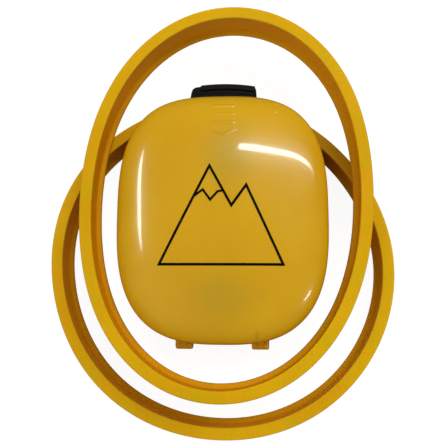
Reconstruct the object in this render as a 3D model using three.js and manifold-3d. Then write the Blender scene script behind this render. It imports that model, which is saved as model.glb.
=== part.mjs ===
// Avalanche transceiver: a palm-sized yellow beacon with a hinged front cover,
// a sliding release latch, its circuit board, battery and aerial, and two
// rubber carrying rings.
// Millimetres.  Origin: centre of the flat rear face.  +Z comes out of the
// front cover, +Y points to the latch end, +X is to the right seen from in front.

import * as THREE from 'three';
import { mergeVertices } from 'three/addons/utils/BufferGeometryUtils.js';
import Module from 'manifold-3d';

// --------------------------------------------------------- shared dimensions
const HALF_WIDTH = 33.1;          // housing, X
const HALF_LENGTH = 39.1;         // housing, Y
const OUTLINE_POWER = 2.95;       // superellipse exponent of the shell outline
const FOOT_SOFTNESS = 0.18;       // the hinge end has slightly rounder corners
const OUTLINE_STEPS = 60;

const SHELL_TOP = 14.4;           // rim of the rear shell
const SHELL_FLOOR = 2.0;
const COVER_BOTTOM = SHELL_TOP + 0.3;   // above the seam gap

const GASKET_OUT = 1.4;           // inset of the gasket's outer wall
const GASKET_IN = 2.4;
const GASKET_Z0 = 13.5;
const GASKET_Z1 = 14.6;
const GROOVE_PLAY = 0.1;

const SIDES = [-1, 1];
const HINGE_Y = -39.5;
const HINGE_Z = 12.4;
const HINGE_X = 12.0;             // each hinge lies this far off centre
const HINGE_SEGMENTS = 20;
const KNUCKLE_R = 1.7;
const FORK_HALF = 2.75;
const PIN_R = 0.7;
const PIN_HOLE_R = 0.8;

const LATCH_HALF = 10.6;          // thumb tab, X
const LATCH_Z1 = 18.0;
const LATCH_PLATE_HALF = 8.6;     // sliding plate, X
const LATCH_PLAY = 0.3;

const BOARD_Z0 = 5.0;
const BOARD_Z1 = 6.6;
const ON_BOARD = BOARD_Z1 + 0.05; // parts stand just clear of the board
const SCREWS = [[-17.5, 23], [17.5, 23], [-18.5, -26], [18.5, -26]];

const LOWER_RING_X = -1.11;
const LOWER_RING_Y = -14.36;

// ------------------------------------------------------------------ finishes
const FINISH = {
  shell: { color: 0xd9a022, roughness: 0.35, opacity: 0.9 },
  gasket: { color: 0x2a2a2c, roughness: 0.8 },
  cover: { color: 0xe2a91f, roughness: 0.22, opacity: 0.85 },
  latch: { color: 0x17171a, roughness: 0.45 },
  latchSpring: { color: 0xb9bcc0, roughness: 0.3, metalness: 1 },
  hingePin: { color: 0xc4c7ca, roughness: 0.25, metalness: 1 },
  board: { color: 0x1f5a36, roughness: 0.5 },
  screw: { color: 0xb4b6ba, roughness: 0.3, metalness: 1 },
  holder: { color: 0x1b1d1f, roughness: 0.6 },
  cell: { color: 0xcdbf86, roughness: 0.35, metalness: 0.2 },
  contactSpring: { color: 0xc9ccd0, roughness: 0.3, metalness: 1 },
  contactPlate: { color: 0xc7cacd, roughness: 0.3, metalness: 1 },
  ferrite: { color: 0x3b3b3f, roughness: 0.7 },
  bobbin: { color: 0xe6e1d2, roughness: 0.5 },
  copper: { color: 0xb4642d, roughness: 0.35, metalness: 0.9 },
  cradle: { color: 0x2c2e30, roughness: 0.6 },
  chip: { color: 0x202124, roughness: 0.5 },
  crystal: { color: 0xc9ccd0, roughness: 0.25, metalness: 1 },
  choke: { color: 0x4a3a2c, roughness: 0.5, metalness: 0.2 },
  tuningCapacitor: { color: 0x9a7b4f, roughness: 0.5 },
  reservoir: { color: 0x23324f, roughness: 0.4 },
  transistor: { color: 0x1d1e20, roughness: 0.5 },
  led: { color: 0xd8e6dc, roughness: 0.2 },
  switchCase: { color: 0xaeb1b5, roughness: 0.35, metalness: 0.9 },
  buttonCase: { color: 0xa9acb0, roughness: 0.35, metalness: 0.9 },
  control: { color: 0x1c1d1f, roughness: 0.5 },
  ring: { color: 0xdf9d0e, roughness: 0.6 },
};

// ------------------------------------------------- geometry and solid helpers
const wasm = await Module();
wasm.setup();

// Welds a geometry by position alone and drops collapsed triangles.
function clean(geometry) {
  const loose = geometry.index ? geometry.toNonIndexed() : geometry.clone();
  for (const key of Object.keys(loose.attributes)) {
    if (key !== 'position') loose.deleteAttribute(key);
  }
  const welded = mergeVertices(loose, 1e-4);
  const source = welded.index.array;
  const kept = [];
  for (let i = 0; i < source.length; i += 3) {
    const [a, b, c] = source.slice(i, i + 3);
    if (a !== b && b !== c && a !== c) kept.push(a, b, c);
  }
  welded.setIndex(kept);
  return welded;
}

function solid(geometry) {
  const welded = clean(geometry);
  return new wasm.Manifold(new wasm.Mesh({
    numProp: 3,
    vertProperties: new Float32Array(welded.attributes.position.array),
    triVerts: new Uint32Array(welded.index.array),
  }));
}

function indexed(positions, index) {
  const geometry = new THREE.BufferGeometry();
  geometry.setAttribute('position', new THREE.BufferAttribute(new Float32Array(positions), 3));
  geometry.setIndex(index);
  return geometry;
}

function geometryOf(manifold) {
  const mesh = manifold.getMesh();
  return indexed(mesh.vertProperties, Array.from(mesh.triVerts));
}

const span = (centre, half) => [centre - half, centre + half];
// The range near..far on the +1 side of zero, or its mirror on the -1 side.
const onSide = (side, near, far) => (side > 0 ? [near, far] : [-far, -near]);

function box([x0, x1], [y0, y1], [z0, z1]) {
  const geometry = new THREE.BoxGeometry(x1 - x0, y1 - y0, z1 - z0);
  geometry.translate((x0 + x1) / 2, (y0 + y1) / 2, (z0 + z1) / 2);
  return solid(geometry);
}

// centre: the two coordinates across the axis, in x, y, z order.
function cylinder(axis, radius, [from, to], centre, segments) {
  const geometry = new THREE.CylinderGeometry(radius, radius, to - from, segments);
  const place = [...centre];
  place.splice('xyz'.indexOf(axis), 0, (from + to) / 2);
  if (axis === 'x') geometry.rotateZ(-Math.PI / 2);
  if (axis === 'z') geometry.rotateX(Math.PI / 2);
  geometry.translate(...place);
  return solid(geometry);
}

// points: [x, y]
function plate(points, [z0, z1]) {
  const shape = new THREE.Shape(points.map(([x, y]) => new THREE.Vector2(x, y)));
  const geometry = new THREE.ExtrudeGeometry(shape, { depth: z1 - z0, bevelEnabled: false });
  geometry.translate(0, 0, z0);
  return geometry;
}

// profile: [radius, distance along the axis]; axis: 'y' or 'z'
function turned(profile, segments, axis, [x, y, z]) {
  const points = profile.map(([radius, along]) => new THREE.Vector2(radius, along));
  const geometry = new THREE.LatheGeometry(points, segments);
  if (axis === 'z') geometry.rotateX(Math.PI / 2);
  geometry.translate(x, y, z);
  return geometry;
}

function wire(points, radius, steps, sides) {
  const curve = new THREE.CatmullRomCurve3(points.map((p) => new THREE.Vector3(...p)));
  const shape = new THREE.Shape();
  for (let i = 0; i < sides; i++) {
    const angle = (2 * Math.PI * i) / sides;
    const corner = [radius * Math.cos(angle), radius * Math.sin(angle)];
    if (i === 0) shape.moveTo(...corner);
    else shape.lineTo(...corner);
  }
  shape.closePath();
  return new THREE.ExtrudeGeometry(shape, { steps, bevelEnabled: false, extrudePath: curve });
}

// Helical wire along Y, its radius changing evenly from one end to the other.
function coil({ startR, endR, y0, y1, turns, z, wireR, steps }) {
  const points = [];
  const count = Math.round(turns * 12);
  for (let i = 0; i <= count; i++) {
    const t = i / count;
    const angle = t * turns * 2 * Math.PI;
    const radius = startR + (endR - startR) * t;
    points.push([radius * Math.cos(angle), y0 + (y1 - y0) * t, z + radius * Math.sin(angle)]);
  }
  return wire(points, wireR, steps, 6);
}

// radii: lower right, upper right, upper left, lower left
function roundedRect([x0, x1], [y0, y1], radii, steps) {
  const corners = [[x1, y0], [x1, y1], [x0, y1], [x0, y0]];
  return corners.flatMap(([x, y], k) => {
    const radius = radii[k];
    const centreX = x === x1 ? x - radius : x + radius;
    const centreY = y === y1 ? y - radius : y + radius;
    return Array.from({ length: steps + 1 }, (_, i) => {
      const angle = (Math.PI / 2) * (k - 1 + i / steps);
      return [centreX + radius * Math.cos(angle), centreY + radius * Math.sin(angle)];
    });
  });
}

// Closed skin through layers, bottom to top, each a counter-clockwise loop of [x, y, z].
function loft(layers) {
  const count = layers[0].length;
  const centre = (layer) => [0, 1, 2].map(
    (k) => layer.reduce((sum, point) => sum + point[k] / count, 0));
  const positions = [...layers, [centre(layers[0]), centre(layers.at(-1))]].flat(2);
  const bottom = count * layers.length;
  const top = bottom + 1;
  const last = bottom - count;
  const index = [];
  for (let start = 0; start < last; start += count) {
    for (let i = 0; i < count; i++) {
      const a = start + i;
      const b = start + (i + 1) % count;
      index.push(a, b, b + count, a, b + count, a + count);
    }
  }
  for (let i = 0; i < count; i++) {
    const j = (i + 1) % count;
    index.push(bottom, j, i, top, last + i, last + j);
  }
  return indexed(positions, index);
}

// Superellipse loop at height z, spaced evenly by angle.
function superellipse(halfX, halfY, z, power) {
  const loop = [];
  for (let i = 0; i < OUTLINE_STEPS; i++) {
    const angle = (2 * Math.PI * i) / OUTLINE_STEPS;
    const cos = Math.cos(angle);
    const sin = Math.sin(angle);
    const p = sin < 0 ? power - FOOT_SOFTNESS * (power - 2) : power;
    const sum = Math.pow(Math.abs(cos) / halfX, p) + Math.pow(Math.abs(sin) / halfY, p);
    const radius = 1 / Math.pow(sum, 1 / p);
    loop.push([radius * cos, radius * sin, z]);
  }
  return loop;
}

const insetLoop = (inset, z) => superellipse(
  HALF_WIDTH - inset, HALF_LENGTH - inset, z, OUTLINE_POWER);

// Upright band that follows the shell outline between two insets.
function band(outerInset, innerInset, z0, z1) {
  const prism = (inset, from, to) => solid(loft([insetLoop(inset, from), insetLoop(inset, to)]));
  return prism(outerInset, z0, z1).subtract(prism(innerInset, z0 - 1, z1 + 1));
}

const hingeCylinder = (x, half, radius) => cylinder(
  'x', radius, span(x, half), [HINGE_Y, HINGE_Z], HINGE_SEGMENTS);

// ------------------------------------------------------------------ assembly
const part = new THREE.Group();
part.name = 'avalanche_transceiver';

function put(name, shape, { color, roughness, metalness = 0, opacity = 1 }) {
  const geometry = shape.isBufferGeometry ? clean(shape) : geometryOf(shape);
  const flat = geometry.toNonIndexed();
  flat.computeVertexNormals();
  const material = new THREE.MeshStandardMaterial({
    color, roughness, metalness, transparent: opacity < 1, opacity,
  });
  material.name = `${name}_material`;
  const mesh = new THREE.Mesh(flat, material);
  mesh.name = name;
  part.add(mesh);
}

// ---------------------------------------------------------------- rear shell
const WALL = 1.9;
const RIM_WALL = 3.6;             // thickened wall under the rim
const SEAT_R = 50.4;              // seat wall, outer face, round the lower ring's centre
const SEAT_WALL = 1.8;
const SEAT_TOP = 12.6;
const FORK_GAP_HALF = 1.1;
const KNUCKLE_PLAY = 0.3;

// Quarter-round layers rising from a flat face at z0 to the full outline.
function roundedEdge(inset, roundIn, z0, roundZ, steps) {
  return Array.from({ length: steps + 1 }, (_, i) => {
    const angle = (Math.PI / 2) * (i / steps);
    return insetLoop(inset + roundIn * (1 - Math.sin(angle)),
      z0 + roundZ * (1 - Math.cos(angle)));
  });
}

// Hollow shell, cut back round the seat of the lower ring.
function shellWalls() {
  const outer = [...roundedEdge(0, 9, 0, 9, 6), insetLoop(0, SHELL_TOP)];
  const inner = [
    ...roundedEdge(WALL, 7.5, SHELL_FLOOR, 7, 5),
    insetLoop(WALL, 10.6),
    insetLoop(RIM_WALL, 12.3),
    insetLoop(RIM_WALL, SHELL_TOP + 3),
  ];
  const seat = (radius) => cylinder(
    'z', radius, [-1, 20], [LOWER_RING_X, LOWER_RING_Y], 72);
  const body = solid(loft(outer));
  return body.intersect(seat(SEAT_R))
    .add(body.intersect(box([-60, 60], [0, 60], [SEAT_TOP, 30])))
    .subtract(solid(loft(inner)).intersect(seat(SEAT_R - SEAT_WALL)));
}

function addHingeFork(shell, x) {
  const gap = span(x, FORK_GAP_HALF);
  return shell
    .add(hingeCylinder(x, FORK_HALF, KNUCKLE_R))
    .add(box(span(x, FORK_HALF), [HINGE_Y, HINGE_Y + 2.05], span(HINGE_Z, KNUCKLE_R)))
    // pocket for the cover tongue
    .subtract(hingeCylinder(x, FORK_GAP_HALF, KNUCKLE_R + KNUCKLE_PLAY))
    .subtract(box(gap, [HINGE_Y - 3, HINGE_Y + 1.5], [HINGE_Z, SHELL_TOP + 1]))
    .subtract(box(gap, [HINGE_Y - 3, HINGE_Y], [HINGE_Z - KNUCKLE_R - KNUCKLE_PLAY, HINGE_Z + 1]))
    .subtract(hingeCylinder(x, FORK_HALF + 1, PIN_HOLE_R));
}

// Upright beside the latch plate, with a lip over its edge.
function addLatchGuide(shell, side) {
  const guideY = [33.8, 36.0];
  const guideTop = 17.4;
  return shell
    .add(box(onSide(side, LATCH_PLATE_HALF + LATCH_PLAY, 10.2), guideY, [14.0, guideTop]))
    .add(box(onSide(side, 7.8, 9.2), guideY, [16.6, guideTop]));
}

function rearShell() {
  let shell = shellWalls().subtract(band(
    GASKET_OUT - GROOVE_PLAY, GASKET_IN + GROOVE_PLAY, GASKET_Z0 - GROOVE_PLAY, SHELL_TOP + 2));
  for (const place of SCREWS) {
    shell = shell.add(cylinder('z', 2.6, [SHELL_FLOOR - 0.4, BOARD_Z0 - 0.05], place, 14));
  }
  for (const place of SCREWS) {
    shell = shell.subtract(cylinder('z', 0.85, [2.5, 8], place, 12));
  }
  for (const side of SIDES) {
    shell = addLatchGuide(addHingeFork(shell, side * HINGE_X), side);
  }
  return shell;
}
put('rear_shell', rearShell(), FINISH.shell);
put('rim_gasket', band(GASKET_OUT, GASKET_IN, GASKET_Z0, GASKET_Z1), FINISH.gasket);

// --------------------------------------------------------------- front cover
// [scale of the outline, height, exponent]
const COVER_OUTER = [
  [1.0, COVER_BOTTOM, 3.0], [1.0, 17.8, 3.0], [0.994, 19.4, 3.0], [0.976, 21.0, 3.0],
  [0.944, 22.5, 2.98], [0.895, 23.8, 2.94], [0.82, 24.9, 2.88], [0.70, 25.85, 2.75],
  [0.53, 26.65, 2.55], [0.33, 27.2, 2.3], [0.12, 27.5, 2.1],
];
const COVER_INNER = [
  [0.944, 12.0, 3.0], [0.944, 17.4, 3.0], [0.932, 19.0, 3.0], [0.905, 20.6, 2.98],
  [0.855, 22.0, 2.94], [0.78, 23.1, 2.88], [0.66, 24.0, 2.75], [0.5, 24.75, 2.55],
  [0.3, 25.25, 2.3],
];
const TONGUE_HALF = 0.8;
const MARK_RELIEF = 0.35;
const MARK_Z = [18.5, 30];        // the marks are cut from bars this tall
const BAR_YS = [33.0, 30.6, 28.2];
// [x, y], pointing away from the latch
const CHEVRON = [[0, 24.9], [3.8, 27.0], [3.8, 25.9], [0, 23.8], [-3.8, 25.9], [-3.8, 27.0]];

const coverSolid = (profile) => solid(loft(profile.map(
  ([scale, z, power]) => superellipse(HALF_WIDTH * scale, HALF_LENGTH * scale, z, power))));

function addHingeTongue(cover, x) {
  const width = span(x, TONGUE_HALF);
  const tongueTop = HINGE_Z + 3.9;
  return cover
    .add(hingeCylinder(x, TONGUE_HALF, KNUCKLE_R))
    .add(box(width, [HINGE_Y - 1.0, HINGE_Y + 1.2], [HINGE_Z, tongueTop]))
    .add(box(width, [HINGE_Y - 1.0, HINGE_Y + 2.6], [COVER_BOTTOM, tongueTop]))
    .subtract(hingeCylinder(x, 3, PIN_HOLE_R));
}

function frontCover() {
  const body = coverSolid(COVER_OUTER);
  const cavity = coverSolid(COVER_INNER);
  const latchOpening = box(
    span(0, LATCH_HALF + LATCH_PLAY), [29, 50], [12, LATCH_Z1 + LATCH_PLAY]);
  const catchRib = box([-2.5, 2.5], [32.6, 33.8], [16.7, 27]).intersect(body);
  let cover = body.subtract(cavity).subtract(latchOpening).add(catchRib);
  for (const side of SIDES) cover = addHingeTongue(cover, side * HINGE_X);

  // raised marks: three bars and a chevron, trimmed to a lifted copy of the cover
  const lifted = coverSolid(COVER_OUTER.map(
    ([scale, z, power]) => [scale, z + (z > 17 ? MARK_RELIEF : 0), power]));
  const marks = BAR_YS.map((y) => box([-3.7, 3.7], span(y, 0.55), MARK_Z));
  marks.push(solid(plate(CHEVRON, MARK_Z)));
  for (const mark of marks) cover = cover.add(mark.intersect(lifted).subtract(cavity));
  return cover;
}
put('front_cover', frontCover(), FINISH.cover);

// ------------------------------------------------- release latch and hinge pins
const LATCH_OUT = 43.9;           // outermost point of the thumb tab
const LATCH_IN = 39.4;
const LATCH_ARC = 60.0;           // radius of its outer edge
const LATCH_ARC_Y = LATCH_OUT - LATCH_ARC;
const LATCH_PLATE_IN = 30.6;
const TAB_STEPS = 16;
const TAB_GROOVE_HALF = 0.25;
const TAB_GROOVE_DEPTH = 0.4;

function releaseLatch() {
  const tab = [];
  for (let i = 0; i <= TAB_STEPS; i++) {
    const x = LATCH_HALF - (2 * LATCH_HALF * i) / TAB_STEPS;
    tab.push([x, LATCH_ARC_Y + Math.sqrt(LATCH_ARC * LATCH_ARC - x * x)]);
  }
  tab.push([-LATCH_HALF, LATCH_IN], [LATCH_HALF, LATCH_IN]);
  let latch = solid(plate(tab, [14.9, LATCH_Z1]));
  const disc = (radius, range) => cylinder('z', radius, range, [0, LATCH_ARC_Y], 64);
  // two arc grooves in the front of the tab
  for (const inset of [1.15, 2.2]) {
    const radius = LATCH_ARC - inset;
    latch = latch.subtract(
      disc(radius + TAB_GROOVE_HALF, [LATCH_Z1 - TAB_GROOVE_DEPTH, LATCH_Z1 + 1])
        .subtract(disc(radius - TAB_GROOVE_HALF, [LATCH_Z1 - 1, LATCH_Z1 + 2])));
  }
  // sliding plate, then the block and nib at its inner end
  return latch
    .add(box(span(0, LATCH_PLATE_HALF), [LATCH_PLATE_IN + 0.6, 39.8], [14.8, 16.3]))
    .add(box([-2.6, 2.6], [LATCH_PLATE_IN, 31.6], [13.9, 17.3]))
    .add(box([-2.2, 2.2], [31.5, 32.4], [16.0, 17.0]));
}
put('release_latch', releaseLatch(), FINISH.latch);

put('latch_spring', coil({
  startR: 1.5, endR: 1.5, y0: 26.9, y1: 30.2, turns: 3.5, z: 15.6, wireR: 0.26, steps: 48,
}), FINISH.latchSpring);

for (const [name, side] of [['hinge_pin_left', -1], ['hinge_pin_right', 1]]) {
  put(name, hingeCylinder(side * HINGE_X, FORK_HALF, PIN_R), FINISH.hingePin);
}

// -------------------------------------------------- circuit board and screws
const SCREW_HEAD_Z = 7.3;         // edge of the dome and bottom of the cross slot
// [radius, z]
const SCREW_PROFILE = [
  [0, 2.9], [0.7, 3.3], [0.7, 6.62], [2.0, 6.62], [1.95, SCREW_HEAD_Z], [1.3, 7.95], [0, 8.1],
];

function circuitBoard() {
  const outline = roundedRect([-25, 25], [-31, 29], [11, 12, 12, 11], 8);
  let board = solid(plate(outline, [BOARD_Z0, BOARD_Z1]));
  for (const place of SCREWS) board = board.subtract(cylinder('z', 1.15, [0, 10], place, 12));
  return board;
}
put('circuit_board', circuitBoard(), FINISH.board);

function boardScrew(x, y) {
  let screw = solid(turned(SCREW_PROFILE, 12, 'z', [x, y, 0]));
  for (const [halfX, halfY] of [[1.1, 0.2], [0.2, 1.1]]) {
    screw = screw.subtract(box(span(x, halfX), span(y, halfY), [SCREW_HEAD_Z, 9]));
  }
  return screw;
}
SCREWS.forEach(([x, y], i) => put(`board_screw_${i + 1}`, boardScrew(x, y), FINISH.screw));

// ------------------------------------------------------------------- battery
const CELL_R = 5.25;
const CELL_END = 44.5 / 2;
const CELL_Z = 13.3;
// [radius, y], from the flat end to the button end
const CELL_PROFILE = [
  [0, -CELL_END], [4.6, -CELL_END], [5.1, -CELL_END + 0.25], [CELL_R, -CELL_END + 0.7],
  [CELL_R, 20.8], [5.0, 21.3], [3.9, 21.45], [1.9, 21.45], [1.85, 22.05], [1.5, CELL_END],
  [0, CELL_END],
];
// section of the bent contact leaf: [y, z]
const CONTACT_LEAF = [
  [24.75, 8.1], [24.75, 17.2], [24.3, 17.5], [23.2, 16.9], [22.42, 14.6], [22.42, 12.2],
  [22.85, 11.6], [22.85, 14.5], [23.5, 16.4], [24.2, 16.9], [24.35, 16.6], [24.35, 8.1],
];

// Open tray: floor, low side walls, tall end walls and raised side walls at the corners.
function batteryHolder() {
  const halfWidth = 6.6;
  const halfLength = 26.4;
  const width = span(0, halfWidth);
  const length = span(0, halfLength);
  const sideWall = (side) => onSide(side, halfWidth - 1, halfWidth);
  let holder = box(width, length, [ON_BOARD + 0.2, 7.75]);
  for (const side of SIDES) holder = holder.add(box(sideWall(side), length, [7.5, 12.2]));
  for (const end of SIDES) {
    holder = holder.add(box(width, onSide(end, halfLength - 1.5, halfLength), [7.5, 18.2]));
  }
  for (const end of SIDES) {
    for (const side of SIDES) {
      holder = holder.add(box(sideWall(side), onSide(end, 17, halfLength), [12.0, 14.4]));
    }
  }
  return holder;
}
put('battery_holder', batteryHolder(), FINISH.holder);
put('battery_cell', turned(CELL_PROFILE, 28, 'y', [0, 0, CELL_Z]), FINISH.cell);
put('contact_spring', coil({
  startR: 2.6, endR: 1.2, y0: -24.5, y1: -22.72, turns: 3, z: CELL_Z, wireR: 0.3, steps: 44,
}), FINISH.contactSpring);

function contactPlate() {
  // the section's [x, y] become [y, z], and the extrusion runs along X
  const turn = new THREE.Matrix4().set(0, 0, 1, 0, 1, 0, 0, 0, 0, 1, 0, 0, 0, 0, 0, 1);
  return plate(CONTACT_LEAF, [-3, 3]).applyMatrix4(turn);
}
put('contact_plate', contactPlate(), FINISH.contactPlate);

// -------------------------------------------------------------------- aerial
const ROD_X = -19.5;
const ROD_Z = 13.0;
const ROD_R = 4.0;
const ROD_HALF = 22.0;
const ROD_CENTRE = [ROD_X, 0, ROD_Z];
const WINDING_TURNS = 7;
const LEAD_Y = 8.4;
// [radius, y]
const ROD_PROFILE = [
  [0, -ROD_HALF], [3.7, -ROD_HALF], [ROD_R, -ROD_HALF + 0.3],
  [ROD_R, ROD_HALF - 0.3], [3.7, ROD_HALF], [0, ROD_HALF],
];
const BOBBIN_PROFILE = [
  [4.2, -11], [6.2, -11], [6.2, -10.2], [4.75, -10.2],
  [4.75, 10.2], [6.2, 10.2], [6.2, 11], [4.2, 11], [4.2, -11],
];
// path of a lead, from the winding down to the board: [x, z]
const LEAD_PATH = [[-13.0, 13.0], [-12.6, 10.6], [-11.6, 9.4], [-10.6, 8.4], [-10.4, 6.75]];

put('ferrite_rod', turned(ROD_PROFILE, 28, 'y', ROD_CENTRE), FINISH.ferrite);
put('antenna_bobbin', turned(BOBBIN_PROFILE, 20, 'y', ROD_CENTRE), FINISH.bobbin);

// Sleeve with one sawtooth ridge for each turn.
function antennaWinding() {
  const profile = [[4.85, -10.05]];
  for (let i = 0; i < WINDING_TURNS; i++) {
    const y = -9.9 + (19.8 * i) / WINDING_TURNS;
    profile.push([5.55, y + 0.05], [5.95, y + 1.4]);
  }
  profile.push([5.55, 9.95], [4.85, 10.05], [4.85, -10.05]);
  return turned(profile, 20, 'y', ROD_CENTRE);
}
put('antenna_winding', antennaWinding(), FINISH.copper);

function rodCradle(y) {
  const cut = span(y, 3);
  return box(span(ROD_X, 5.2), span(y, 1.4), [ON_BOARD, 14.0])
    .subtract(cylinder('y', ROD_R + 0.3, cut, [ROD_X, ROD_Z], 28))
    .subtract(box(span(ROD_X, 3.9), cut, [ROD_Z, 16]));
}
put('rod_cradle_front', rodCradle(17), FINISH.cradle);
put('rod_cradle_rear', rodCradle(-17), FINISH.cradle);

const antennaLead = (y) => wire(LEAD_PATH.map(([x, z]) => [x, y, z]), 0.28, 12, 8);
put('antenna_lead_1', antennaLead(LEAD_Y), FINISH.copper);
put('antenna_lead_2', antennaLead(-LEAD_Y), FINISH.copper);

// -------------------------------------------------------- parts on the board
// turned parts: [radius, height above ON_BOARD]
const CHOKE_PROFILE = [
  [0, 0], [3.0, 0], [3.0, 0.8], [2.0, 0.9], [2.0, 3.6], [3.0, 3.7], [3.0, 4.5], [0, 4.5],
];
const RESERVOIR_PROFILE = [
  [0, 0], [2.4, 0], [2.5, 0.6], [2.3, 1.0], [2.5, 1.4], [2.5, 6.8], [2.2, 7.1], [0, 7.1],
];
const LED_PROFILE = [
  [0, 0], [1.9, 0], [1.9, 0.9], [1.5, 0.9], [1.5, 3.1], [1.3, 3.8], [0.8, 4.35], [0, 4.5],
];

// Square chip with five leads on every side.
function microcontroller() {
  const x = 16;
  const y = 9.2;
  const leadPitch = 1.6;
  const leadHalf = 0.22;
  const leadReach = 5.5;
  const leadZ = [ON_BOARD, 7.25];
  let chip = box(span(x, 4.5), span(y, 4.5), [ON_BOARD + 0.15, 8.1]);
  for (let i = -2; i <= 2; i++) {
    const offset = i * leadPitch;
    chip = chip.add(box(span(x, leadReach), span(y + offset, leadHalf), leadZ))
      .add(box(span(x + offset, leadHalf), span(y, leadReach), leadZ));
  }
  return chip;
}
put('microcontroller', microcontroller(), FINISH.chip);

const crystalOutline = roundedRect([8.5, 18.9], [15.7, 19.9], [2, 2, 2, 2], 5);
put('crystal_can', plate(crystalOutline, [ON_BOARD, 9.9]), FINISH.crystal);
put('choke_inductor', turned(CHOKE_PROFILE, 24, 'z', [12, -24, ON_BOARD]), FINISH.choke);

const tuningCapacitor = (y) => box([-11.4, -9.5], span(y, 1.8), [ON_BOARD, 8.2]);
put('tuning_capacitor_1', tuningCapacitor(14), FINISH.tuningCapacitor);
put('tuning_capacitor_2', tuningCapacitor(-14), FINISH.tuningCapacitor);
put('reservoir_capacitor', turned(RESERVOIR_PROFILE, 24, 'z', [21.2, -12, ON_BOARD]),
  FINISH.reservoir);

// Round case with one flat: a 260 degree arc closed by its chord.
function driverTransistor() {
  const radius = 2.3;
  const steps = 12;
  const points = [];
  for (let i = 0; i <= steps; i++) {
    const angle = (-40 + (260 * i) / steps) * Math.PI / 180;
    points.push([21.4 + radius * Math.cos(angle), -2.6 + radius * Math.sin(angle)]);
  }
  return plate(points, [ON_BOARD, 11.2]);
}
put('driver_transistor', driverTransistor(), FINISH.transistor);
put('status_led', turned(LED_PROFILE, 20, 'z', [10.6, 23.6, ON_BOARD]), FINISH.led);

// slide switch and push button share a centre line and case height
const CONTROL_X = 13.5;
const BUTTON_Y = -2.7;
const CONTROL_CASE_Z = [ON_BOARD, 9.9];
const CONTROL_RECESS_Z = [8.6, 11];
// [radius, z]
const PLUNGER_PROFILE = [[0, 9.1], [1.6, 9.1], [1.6, 11.2], [1.4, 11.45], [0, 11.5]];

put('switch_body', box(span(CONTROL_X, 2.3), [-18.2, -9.2], CONTROL_CASE_Z)
  .subtract(box(span(CONTROL_X, 1), [-16.4, -11.0], CONTROL_RECESS_Z)), FINISH.switchCase);
put('switch_slider', box(span(CONTROL_X, 0.7), [-16.1, -13.4], [8.9, 10.3])
  .add(box(span(CONTROL_X, 0.7), [-15.9, -13.9], [10.2, 12.0])), FINISH.control);
put('button_body', box(span(CONTROL_X, 3.1), span(BUTTON_Y, 3.1), CONTROL_CASE_Z)
  .subtract(cylinder('z', 1.9, CONTROL_RECESS_Z, [CONTROL_X, BUTTON_Y], 24)), FINISH.buttonCase);
put('button_plunger', turned(PLUNGER_PROFILE, 24, 'z', [CONTROL_X, BUTTON_Y, 0]), FINISH.control);

// -------------------------------------------------------------- rubber rings
const RING_THICK = 3.8;
const RING_DEPTH = 11.8;
const RING_EDGE = 0.5;            // softened edges of the strap
const RING_STEPS = 64;
const RING_STACK_GAP = 0.15;      // the upper ring lies on the lower one
// neither ring lies as a true circle or ellipse: outer radius = base + sum of
// [cos, sin] terms at 2, 3, 4 and 5 times the angle
const LOWER_RING = {
  base: 55.31,
  terms: [[0.43, -0.66], [0.04, -0.04], [-0.06, -0.18], [0.13, 0.09]],
  origin: [LOWER_RING_X, LOWER_RING_Y, 0],
};
const UPPER_RING = {
  base: 52.7,
  terms: [[-8.21, 1.01], [-0.03, -0.08], [0.38, -0.23], [0.01, 0.02]],
  origin: [1.08, 5.76, RING_DEPTH + RING_STACK_GAP],
};
// [offset inward from the outer face, height]
const STRAP_SECTION = [
  [RING_EDGE, 0], [RING_THICK - RING_EDGE, 0],
  [RING_THICK, RING_EDGE], [RING_THICK, RING_DEPTH - RING_EDGE],
  [RING_THICK - RING_EDGE, RING_DEPTH], [RING_EDGE, RING_DEPTH],
  [0, RING_DEPTH - RING_EDGE], [0, RING_EDGE],
];

function rubberRing({ base, terms, origin }) {
  const outerPoint = (angle) => {
    const radius = terms.reduce((sum, [cos, sin], i) => (
      sum + cos * Math.cos((i + 2) * angle) + sin * Math.sin((i + 2) * angle)), base);
    return [radius * Math.cos(angle), radius * Math.sin(angle)];
  };
  const positions = [];
  const index = [];
  const count = STRAP_SECTION.length;
  for (let i = 0; i < RING_STEPS; i++) {
    const angle = (2 * Math.PI * i) / RING_STEPS;
    const [x, y] = outerPoint(angle);
    // the chord between two close neighbours gives the tangent
    const [x0, y0] = outerPoint(angle - 0.01);
    const [x1, y1] = outerPoint(angle + 0.01);
    const chord = Math.hypot(x1 - x0, y1 - y0);
    for (const [inward, height] of STRAP_SECTION) {
      positions.push(
        x - (inward * (y1 - y0)) / chord + origin[0],
        y + (inward * (x1 - x0)) / chord + origin[1],
        height + origin[2]);
    }
    const here = i * count;
    const next = ((i + 1) % RING_STEPS) * count;
    for (let k = 0; k < count; k++) {
      const m = (k + 1) % count;
      index.push(here + k, here + m, next + m, here + k, next + m, next + k);
    }
  }
  return indexed(positions, index);
}
put('rubber_ring_lower', rubberRing(LOWER_RING), FINISH.ring);
put('rubber_ring_upper', rubberRing(UPPER_RING), FINISH.ring);

export default part;
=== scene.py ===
import math

import bmesh
import bpy
import numpy as np
from mathutils import Matrix, Vector


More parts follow.
